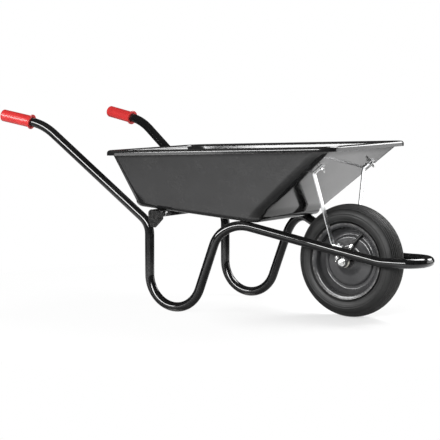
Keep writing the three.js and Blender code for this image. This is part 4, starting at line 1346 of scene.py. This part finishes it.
@dataclass
class AxleGroup:
    """Axle, its brackets, spacers, washers and nuts, in millimetres."""

    tube: FrameTube
    bracket_inner_y: float = 59.7
    bracket_plate: float = 4.0
    bracket_width: float = 66.0
    bracket_lap: float = 8.0
    bracket_end_radius: float = 19.0
    axle_radius: float = 6.0
    spacer_length: float = 8.0
    spacer_radius: float = 10.5
    washer_radius: float = 13.0
    nut: Point2 = (19.0, 10.0)
    tail: float = 3.0
    gap: float = 0.3

    def bracket_outline(self, side: int) -> list[Point2]:
        """The plate's outline in x and z."""
        half, axle_z = self.bracket_width / 2, AXLE.z / MM
        top = self.tube.side_at(half, side)[0].z / MM + self.bracket_lap
        shoulder = self.tube.side_at(0.0, side)[0].z / MM - self.tube.radius
        end = [
            (self.bracket_end_radius * math.cos(a), axle_z + self.bracket_end_radius * math.sin(a))
            for a in steps(math.pi, 2 * math.pi, 24)
        ]
        return [(-half, top), (-half, shoulder), *end, (half, shoulder), (half, top)]

    def build(self, shop: Workshop) -> None:
        """Builds the axle, then each side's bracket and fasteners."""
        kit = Fasteners(thread_depth=0.8, pitch=1.75)
        outer = self.bracket_inner_y + self.bracket_plate
        washer_y = outer + self.gap
        nut_y = washer_y + kit.washer_thickness + self.gap
        end_y = nut_y + self.nut[1] + self.tail
        axle = Shape().turned(
            [(0.0, -nut_y), (self.axle_radius, -nut_y), (self.axle_radius, nut_y), (0.0, nut_y)],
            AXLE,
            Vector((0.0, 1.0, 0.0)),
        )
        for side in SIDES.values():
            kit.add_thread(axle, AXLE, Vector((0.0, side, 0.0)), nut_y - 1, end_y, self.axle_radius)
        shop.mount(make_piece("axle_rod", axle), "frame", Slot.ZINC, "axle")
        for name, side in SIDES.items():
            out = Vector((0.0, side, 0.0))
            low, high = sorted((side * self.bracket_inner_y, side * outer))
            plate = make_piece(f"bracket_plate_{name}", plate_shape(self.bracket_outline(side), low, high))
            round_edges(plate, 0.8, 3)
            shop.mount(plate, "frame", Slot.FRAME, f"axle_bracket_{name}")
            spacer = Shape().turned(
                [
                    *(
                        (self.axle_radius + self.gap, 0.0),
                        (self.spacer_radius - 0.5, 0.0),
                        (self.spacer_radius, 0.5)
                    ),
                    *(
                        (self.spacer_radius, self.spacer_length - 0.5),
                        (self.spacer_radius - 0.5, self.spacer_length)
                    ),
                    (self.axle_radius + self.gap, self.spacer_length),
                ],
                AXLE + out * (self.bracket_inner_y - self.spacer_length - self.gap) * MM,
                out,
                closed=True,
            )
            shop.mount(make_piece(f"spacer_tube_{name}", spacer), "frame", Slot.ZINC, f"axle_spacer_{name}")
            washer = Shape()
            kit.add_washer(washer, AXLE, out, washer_y, self.washer_radius, self.axle_radius + self.gap)
            shop.mount(make_piece(f"wide_washer_{name}", washer), "frame", Slot.ZINC, f"axle_washer_{name}")
            nut = Shape()
            kit.add_hex(nut, AXLE, out, nut_y, self.nut, self.axle_radius + self.gap)
            shop.mount(make_piece(f"wheel_nut_{name}", nut), "frame", Slot.ZINC, f"axle_nut_{name}")
            self.build_welds(shop, name, side)

    def build_welds(self, shop: Workshop, name: str, side: int) -> None:
        """Welds the bracket to the tube in the corner below the tube."""
        reach = self.bracket_width / 2 - 4
        ends = [self.tube.side_at(x, side) for x in (-reach, reach)]
        bead_y = side * (self.bracket_inner_y + self.bracket_plate + 1.2) * MM
        drop = math.sqrt(self.tube.radius**2 - (self.tube.side_y - 64.9 - 1.0) ** 2) * MM
        below = [Vector((c.x, bead_y, c.z)) - up * drop for c, _, up in ends]
        weld_bead(f"bracket_weld_{name}", below, 2.6, shop, "frame", Slot.FRAME)


@dataclass
class Stays:
    """Flat stays from the tray's front wall to the side tubes, in millimetres."""

    tube: FrameTube
    tray: TrayShell
    width: float = 20.0
    thickness: float = 4.0
    bend_radius: float = 9.0
    top_spread: float = 168.0
    wall_drop: float = 96.0
    tab_above: float = 12.0
    tab_below: float = 34.0
    foot_x: float = -8.0
    foot_front: float = 17.0
    foot_rear: float = 22.0
    gap: float = 0.3

    def wall_seat(self, side: int) -> tuple[Vector, Vector, float]:
        """Inner face of the wall at the top bolt, the bolt's direction and what it clamps."""
        top, up, out = self.tray.front_wall()
        wall = self.tray.sheet * out.x
        seat = top - up * self.wall_drop * MM - out * wall * MM
        seat.y = side * self.top_spread * MM
        return seat, out, wall + self.gap + self.thickness

    def foot_seat(self, side: int) -> tuple[Vector, Vector, float]:
        """Upper face of the stay at the foot bolt, the bolt's direction and what it clamps."""
        centre, _, up = self.tube.side_at(self.foot_x, side)
        seat = centre + up * (self.tube.radius + self.gap + self.thickness) * MM
        return seat, -up, self.thickness + self.gap + 2 * self.tube.radius

    def build(self, shop: Workshop) -> None:
        """Builds both stays and their bolts."""
        for name, side in SIDES.items():
            top, up, out = self.tray.front_wall()
            wall_bolt = top - up * self.wall_drop * MM + out * (self.gap + self.thickness / 2) * MM
            wall_bolt.y = side * self.top_spread * MM
            centre, along, tube_up = self.tube.side_at(self.foot_x, side)
            foot_bolt = centre + tube_up * (self.tube.radius + self.gap + self.thickness / 2) * MM
            corners = [
                wall_bolt + up * self.tab_above * MM,
                wall_bolt - up * self.tab_below * MM,
                foot_bolt - along * self.foot_rear * MM,
                foot_bolt + along * self.foot_front * MM,
            ]
            line = BentLine.through(corners, [0.0, self.bend_radius, self.bend_radius, 0.0], 8.0)
            widthways = Vector((0.0, self.width / 2, 0.0))
            section = bar_section(self.width, self.thickness, 0.9)
            rows = []
            for point, tangent in zip(line.points, line.tangents):
                across = widthways.normalized()
                through = tangent.cross(across).normalized()
                rows.append([point + (across * a + through * b) * MM for a, b in section])
            piece = make_piece(f"flat_stay_{name}", Shape().grid(rows, caps=True), 45.0)
            shop.mount(piece, "frame", Slot.GALVANISED, f"stay_{name}")
            BoltSet(f"wall_{name}", f"stay_top_{name}", *self.wall_seat(side), False).build(shop)
            BoltSet(f"foot_{name}", f"stay_foot_{name}", *self.foot_seat(side), True).build(shop)


# ---- Wheel ----------------------------------------------------------------------------


@dataclass
class Wheel:
    """Tyre, pressed rim halves, hub, bearings and valve, in millimetres."""

    radius: float = 190.0
    rim_radius: float = 128.0
    rim_edge: float = 38.5
    rim_sheet: float = 2.0
    rim_flange_depth: float = 14.0
    rim_well: float = 22.0
    ring_radius: float = 97.0
    ring_width: float = 11.0
    rim_step: float = 8.0
    rim_dish: float = 21.0
    hub_radius: float = 20.0
    hub_wall: float = 3.0
    hub_end_y: float = 48.3
    bearing_depth: float = 24.0
    bearing_flange: float = 2.5
    axle_bore: float = 6.6
    valve_angle: float = 62.0
    valve_root: float = 123.0
    valve_cap: tuple[float, float, float] = (12.0, -26.0, 50.0)
    stem_radius: float = 4.5
    cap_radius: float = 6.5
    cap_length: float = 18.0
    gap: float = 0.3
    rib_grooves: tuple[Point2, ...] = (
        (0.0, 2.6), (9.0, 2.4), (18.0, 2.4), (26.5, 2.0), (33.5, 1.3), (39.5, 0.9)
    )

    def tyre_skin(self) -> list[Point2]:
        """Outer skin on the +Y side, from bead to crown, with its ribs."""
        base = [
            *((119.0, 33.0), (127.5, 33.2), (131.5, 36.5), (137.0, 41.4), (144.0, 44.2), (151.0, 45.0)),
            *((159.0, 44.3), (167.0, 41.6), (174.0, 37.3), (180.0, 31.5), (184.6, 24.5), (187.6, 16.5)),
            *((189.4, 8.0), (190.0, 0.0)),
        ]
        curve = smooth_curve(base, 0.75)
        travelled = [0.0]
        for before, after in zip(curve, curve[1:]):
            travelled.append(travelled[-1] + math.dist(before, after))
        skin = []
        for i, (radius, y) in enumerate(curve):
            (r0, y0), (r1, y1) = curve[max(i - 1, 0)], curve[min(i + 1, len(curve) - 1)]
            length = math.hypot(r1 - r0, y1 - y0)
            from_crown = travelled[-1] - travelled[i]
            cut = sum(self.groove(from_crown - place, depth) for place, depth in self.rib_grooves)
            cut -= 0.7 * self.ridge(from_crown - 60.0) + 0.5 * self.ridge(from_crown - 66.0)
            cut -= 1.0 * self.ridge(from_crown - 82.0)
            skin.append((radius + (y1 - y0) / length * cut, y - (r1 - r0) / length * cut))
        return skin

    @staticmethod
    def groove(offset: float, depth: float) -> float:
        """Depth of a round-bottomed groove at that offset from its middle."""
        return depth * max(0.0, 1 - (offset / 1.9) ** 4)

    @staticmethod
    def ridge(offset: float) -> float:
        """Height of a narrow raised ring at that offset from its middle."""
        return math.exp(-((offset / 0.9) ** 2))

    def rim_line(self) -> list[Point2]:
        """Middle of the rim's sheet on the +Y side, from the flange to the hub."""
        t = self.rim_sheet
        seat = self.rim_radius - self.rim_flange_depth
        ring_end = self.ring_radius - self.ring_width
        meet = (t + self.gap) / 2
        hub = self.hub_radius + 2 * self.gap
        hub_y = meet + self.rim_dish
        return [
            (self.rim_radius, self.rim_edge + t / 2),
            (self.rim_radius - 5 * t, self.rim_edge - t / 2),
            (seat, self.rim_edge - 2.5 * t),
            (seat - t, self.rim_edge - t - self.rim_well),
            (self.ring_radius + 2.5 * t, meet + 2.5 * t),
            (self.ring_radius, meet),
            (ring_end, meet),
            (ring_end - 2.5 * t, meet + self.rim_step),
            (hub + self.rim_dish + 3 * t, meet + self.rim_step + t),
            (hub + self.rim_dish / 2, hub_y - t / 2),
            (hub, hub_y),
        ]

    @staticmethod
    def soften(line: Sequence[Point2], radius: float, arc_steps: int = 5) -> list[Point2]:
        """Rounds an open line's inner corners."""
        soft: list[Point2] = [line[0]]
        for before, corner, after in zip(line, line[1:], line[2:]):
            b, c, a = Vector(before), Vector(corner), Vector(after)
            reach = min(radius, (b - c).length * 0.45, (a - c).length * 0.45)
            start, end = c + (b - c).normalized() * reach, c + (a - c).normalized() * reach
            for t in steps(0.0, 1.0, arc_steps):
                soft.append(tuple(start.lerp(c, t).lerp(c.lerp(end, t), t)))
        return [*soft, line[-1]]

    def spin(self, name: str, profile: Sequence[Point2], flip: int, sides: int) -> bpy.types.Object:
        """Turns a closed radius and y profile about the axle, mirrored where flip is -1."""
        shape = Shape().turned(profile, AXLE, Vector((0.0, flip, 0.0)), sides, closed=True)
        return make_piece(name, shape, 42.0)

    def build(self, shop: Workshop) -> None:
        """Builds every piece that turns with the wheel."""
        self.build_tyre(shop)
        for name, side in SIDES.items():
            band = sheet_band(self.soften(self.rim_line(), 5.0), self.rim_sheet)
            shop.mount(self.spin(f"pressed_rim_{name}", band, side, 144), "wheel", Slot.RIM, f"rim_{name}")
        self.build_hub(shop)
        self.build_valve(shop)

    def build_tyre(self, shop: Workshop) -> None:
        """Builds the tyre from its ribbed skin and a plain inner skin."""
        skin = self.tyre_skin()
        outer = [*skin, *((r, -y) for r, y in reversed(skin[:-1]))]
        inside = [(119.0, 27.0), (139.0, 35.4), (153.0, 39.0), (166.0, 35.9), (176.0, 24.0), (178.0, 0.0)]
        inner = smooth_curve([*((r, -y) for r, y in inside), *reversed(inside[:-1])], 6.0)
        profile = [*outer, *inner]
        shop.mount(self.spin("ribbed_tyre", profile, 1, 160), "wheel", Slot.TYRE, "tyre")

    def build_hub(self, shop: Workshop) -> None:
        """Builds the hub tube, its two bearings and the welds round the discs."""
        bore, end = self.hub_radius - self.hub_wall, self.hub_end_y
        tube = [
            (bore, -end),
            (self.hub_radius - 0.5, -end),
            (self.hub_radius, 0.5 - end),
            (self.hub_radius, end - 0.5)
        ]
        tube += [(self.hub_radius - 0.5, end), (bore, end)]
        shop.mount(self.spin("hub_tube", tube, 1, 72), "wheel", Slot.RIM, "hub")
        disc_y = (self.rim_sheet + self.gap) / 2 + self.rim_dish
        for name, side in SIDES.items():
            out = Vector((0.0, side, 0.0))
            start = AXLE + out * (end + self.gap - self.bearing_depth) * MM
            plug, rim, depth = bore - self.gap, self.hub_radius, self.bearing_depth
            profile = [
                *((self.axle_bore, 0.0), (plug, 0.0), (plug, depth), (rim - 0.4, depth), (rim, depth + 0.4)),
                *((rim, depth + self.bearing_flange - 0.6), (rim - 0.6, depth + self.bearing_flange)),
                *(
                    (self.axle_bore + 0.6, depth + self.bearing_flange),
                    (self.axle_bore, depth + self.bearing_flange - 0.6)
                ),
            ]
            bearing = make_piece(
                f"flanged_bearing_{name}", Shape().turned(profile, start, out, 64, closed=True)
            )
            shop.mount(bearing, "wheel", Slot.NYLON, f"bearing_{name}")
            ring = [
                AXLE + Vector((21.2 * math.cos(a), side * (disc_y + 2.0), 21.2 * math.sin(a))) * MM
                for a in steps(0.0, 2 * math.pi, 72)
            ]
            weld_bead(f"hub_weld_{name}", ring, 2.2, shop, "wheel", Slot.RIM)

    def build_valve(self, shop: Workshop) -> None:
        """Builds the rubber stem and its knurled cap."""
        angle = math.radians(self.valve_angle)
        root = AXLE + Vector((math.cos(angle), 0.0, math.sin(angle))) * self.valve_root * MM
        cap = AXLE + Vector(self.valve_cap) * MM
        along = (cap - root).normalized()
        stem_length = (cap - root).length / MM - self.cap_length / 2
        stem = [
            (0.0, 0.0),
            (self.stem_radius + 1.0, 0.0),
            (self.stem_radius + 0.6, 10.0),
            (self.stem_radius, 16.0)
        ]
        stem += [
            (self.stem_radius, stem_length - 6), (self.stem_radius - 0.6, stem_length), (0.0, stem_length)
        ]
        piece = make_piece("valve_rubber", Shape().turned(stem, root, along, 32))
        shop.mount(piece, "wheel", Slot.INNER_TUBE, "valve_stem")
        start = root + along * (stem_length + self.gap) * MM
        knurled = [(2.0, 1.0), (4.0, 1.0), (6.0, 1.0), (8.0, 1.0), (10.0, 1.0), (12.0, 1.0), (14.0, 1.0)]
        outline = [(0.0, 0.0, 0), (self.cap_radius - 0.6, 0.0, 0), (self.cap_radius, 0.6, 0)]
        outline += [(self.cap_radius, h, share) for h, share in knurled]
        outline += [(self.cap_radius, 15.0, 0), (self.cap_radius - 0.9, self.cap_length - 0.9, 0)]
        outline += [(self.cap_radius - 2.0, self.cap_length, 0), (0.0, self.cap_length, 0)]
        radii = [(lambda a, r=r, k=k: r - k * 0.35 * (1 + math.cos(20 * a)) / 2) for r, _, k in outline]
        shape = Shape().lathe(radii, [h for _, h, _ in outline], start, along, 100)
        shop.mount(make_piece("valve_cap_knurled", shape), "wheel", Slot.ZINC, "valve_cap")


# ---- Studio ---------------------------------------------------------------------------


@dataclass(frozen=True)
class SoftLight:
    """A rectangular soft light."""

    name: str
    place: tuple[float, float, float]
    aim: tuple[float, float, float]
    size: Point2
    radiance: float

    def build(self) -> None:
        """Hangs the light; it shows in reflections and not to the camera."""
        data = bpy.data.lights.new(self.name, "AREA")
        data.shape = "RECTANGLE"
        data.size, data.size_y = self.size
        data.energy = self.radiance * math.pi * self.size[0] * self.size[1]
        lamp = bpy.data.objects.new(self.name, data)
        lamp.location = self.place
        facing = Vector(self.aim) - Vector(self.place)
        lamp.rotation_euler = facing.to_track_quat("-Z", "Y").to_euler()
        lamp.visible_camera = False
        bpy.context.scene.collection.objects.link(lamp)


@dataclass
class Studio:
    """Pale floor, white surround and soft lights, in metres."""

    floor_radius: float = 3.2
    floor_colour: float = 0.86
    floor_fade: float = 0.5
    wheel_fade: float = 0.94
    floor_drop: float = 0.0004
    floor_sides: int = 96
    sensor_width: float = 36.0
    dark_room: float = 0.03
    lens: float = 134.5
    camera_place: tuple[float, float, float] = (3.1417, -4.7898, 0.8373)
    camera_turn: tuple[float, float, float] = (84.64, -0.05, 33.66)
    lights: tuple[SoftLight, ...] = (
        SoftLight("front_strip", (-0.2, -4.2, 1.75), (-0.1, 0.0, 0.3), (6.0, 0.9), 26.0),
        SoftLight("overhead", (0.85, 1.5, 2.35), (0.1, 0.0, 0.2), (1.6, 1.1), 15.0),
        SoftLight("side_panel", (2.6, 3.2, 0.75), (0.2, 0.0, 0.4), (2.6, 1.5), 2.2),
        SoftLight("back_panel", (1.4, 3.5, 1.95), (0.0, 0.0, 0.5), (1.5, 0.9), 11.0),
        SoftLight("left_panel", (-3.1, -4.2, 0.45), (-0.4, 0.0, 0.5), (1.1, 0.8), 3.5),
    )

    def build(self) -> None:
        """Builds the floor, the surround, the lights and the camera."""
        self.build_floor()
        self.build_surround()
        for light in self.lights:
            light.build()
        data = bpy.data.cameras.new("camera")
        data.lens = self.lens
        data.sensor_width = self.sensor_width
        camera = bpy.data.objects.new("camera", data)
        camera.location = self.camera_place
        camera.rotation_euler = [math.radians(a) for a in self.camera_turn]
        bpy.context.scene.collection.objects.link(camera)
        bpy.context.scene.camera = camera
        bpy.context.scene.view_settings.view_transform = "Standard"
        LOG.info("studio has %d lights", len(self.lights))

    def build_floor(self) -> None:
        """Round floor that fades to plain white for the camera; to other rays its colour is darker under the
        object, as a painted shadow, and darker far out, as painted shade.
        """
        rows = [
            [
                Vector((r * math.cos(a), r * math.sin(a), -self.floor_drop))
                for a in steps(0.0, 2 * math.pi, self.floor_sides)[:-1]
            ]
            for r in (0.4, 0.8, 1.6, self.floor_radius)
        ]
        floor = make_piece("floor", Shape().grid(rows, caps=False).add(rows[0], [tuple(range(self.floor_sides))]))
        material = bpy.data.materials.new("pale_floor")
        material.use_nodes = True
        g = Graph(material.node_tree)
        shader = material.node_tree.nodes["Principled BSDF"]
        shader.inputs["Roughness"].default_value = 0.6
        where = g.add("ShaderNodeTexCoord").outputs["Object"]
        seen = g.add("ShaderNodeLightPath").outputs["Is Camera Ray"]
        distance = g.add("ShaderNodeVectorMath", {0: where}, operation="LENGTH").outputs["Value"]
        pale = g.spread(
            g.noise(where, 3.0, 4.0), 0.3, 0.7, self.floor_colour - 0.01, self.floor_colour + 0.01
        )
        # Painted shade: except for camera rays, the floor colour falls to 0.3 under the object as its painted
        # shadow, and to 0.02 far out as painted shade.
        wear_and_painted_shade = g.math(
            "MULTIPLY", g.spread(distance, 1.05, 1.9, 1.0, 0.02), g.spread(distance, 0.45, 0.85, 0.3, 1.0)
        )
        tone = g.math("MULTIPLY", pale, g.math("MAXIMUM", wear_and_painted_shade, seen))
        feed(g, shader, Base_Color=g.add("ShaderNodeCombineColor", {0: tone, 1: tone, 2: tone}).outputs[0])
        spot = (AXLE.x, AXLE.y, 0.0)
        from_wheel = g.add("ShaderNodeVectorMath", {0: where, 1: spot}, operation="DISTANCE").outputs["Value"]
        near_wheel = g.spread(from_wheel, 0.1, 0.5, self.floor_fade, self.wheel_fade)
        fade = g.math("MULTIPLY", g.math("MAXIMUM", near_wheel, g.spread(distance, 0.7, 1.3, 0.0, 1.0)), seen)
        white = g.add("ShaderNodeEmission", {"Color": (1.0, 1.0, 1.0, 1.0), "Strength": 1.0}).outputs[0]
        mixed = g.add("ShaderNodeMixShader", {0: fade, 1: shader.outputs[0], 2: white}).outputs[0]
        output = material.node_tree.nodes["Material Output"]
        g.tree.links.new(mixed, output.inputs["Surface"])
        floor.data.materials.append(material)

    def build_surround(self) -> None:
        """White to the camera, and a dim room to everything else."""
        world = bpy.data.worlds.new("surround")
        bpy.context.scene.world = world
        world.use_nodes = True
        g = Graph(world.node_tree)
        seen = g.add("ShaderNodeLightPath").outputs["Is Camera Ray"]
        tone = g.spread(seen, 0.0, 1.0, self.dark_room, 1.0)
        background = world.node_tree.nodes["Background"]
        world.node_tree.links.new(tone, background.inputs["Strength"])
        background.inputs["Color"].default_value = (1.0, 1.0, 1.0, 1.0)


def main() -> None:
    """Builds the studio and every sub-assembly in order."""
    logging.basicConfig(level=logging.INFO, format="%(message)s")
    Studio().build()
    shop = Workshop.open()
    tube = FrameTube()
    tray = TrayShell()
    brace = RearBrace(tube, tray)
    for assembly in (tube, Grips(tube), tray, brace, AxleGroup(tube), Stays(tube, tray), Wheel()):
        assembly.build(shop)
    down = Vector((-math.sin(math.radians(tray.slope)), 0.0, -math.cos(math.radians(tray.slope))))
    for name, side in SIDES.items():
        clamped = tray.sheet + brace.gap + brace.sheet
        BoltSet(f"floor_{name}", f"brace_{name}", brace.bolt_seat(side), down, clamped, False).build(shop)
    inner_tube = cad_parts["inner_tube"]
    inner_tube.data.materials.clear()
    inner_tube.data.materials.append(shop.materials[Slot.INNER_TUBE])


if __name__ == "__main__":
    main()
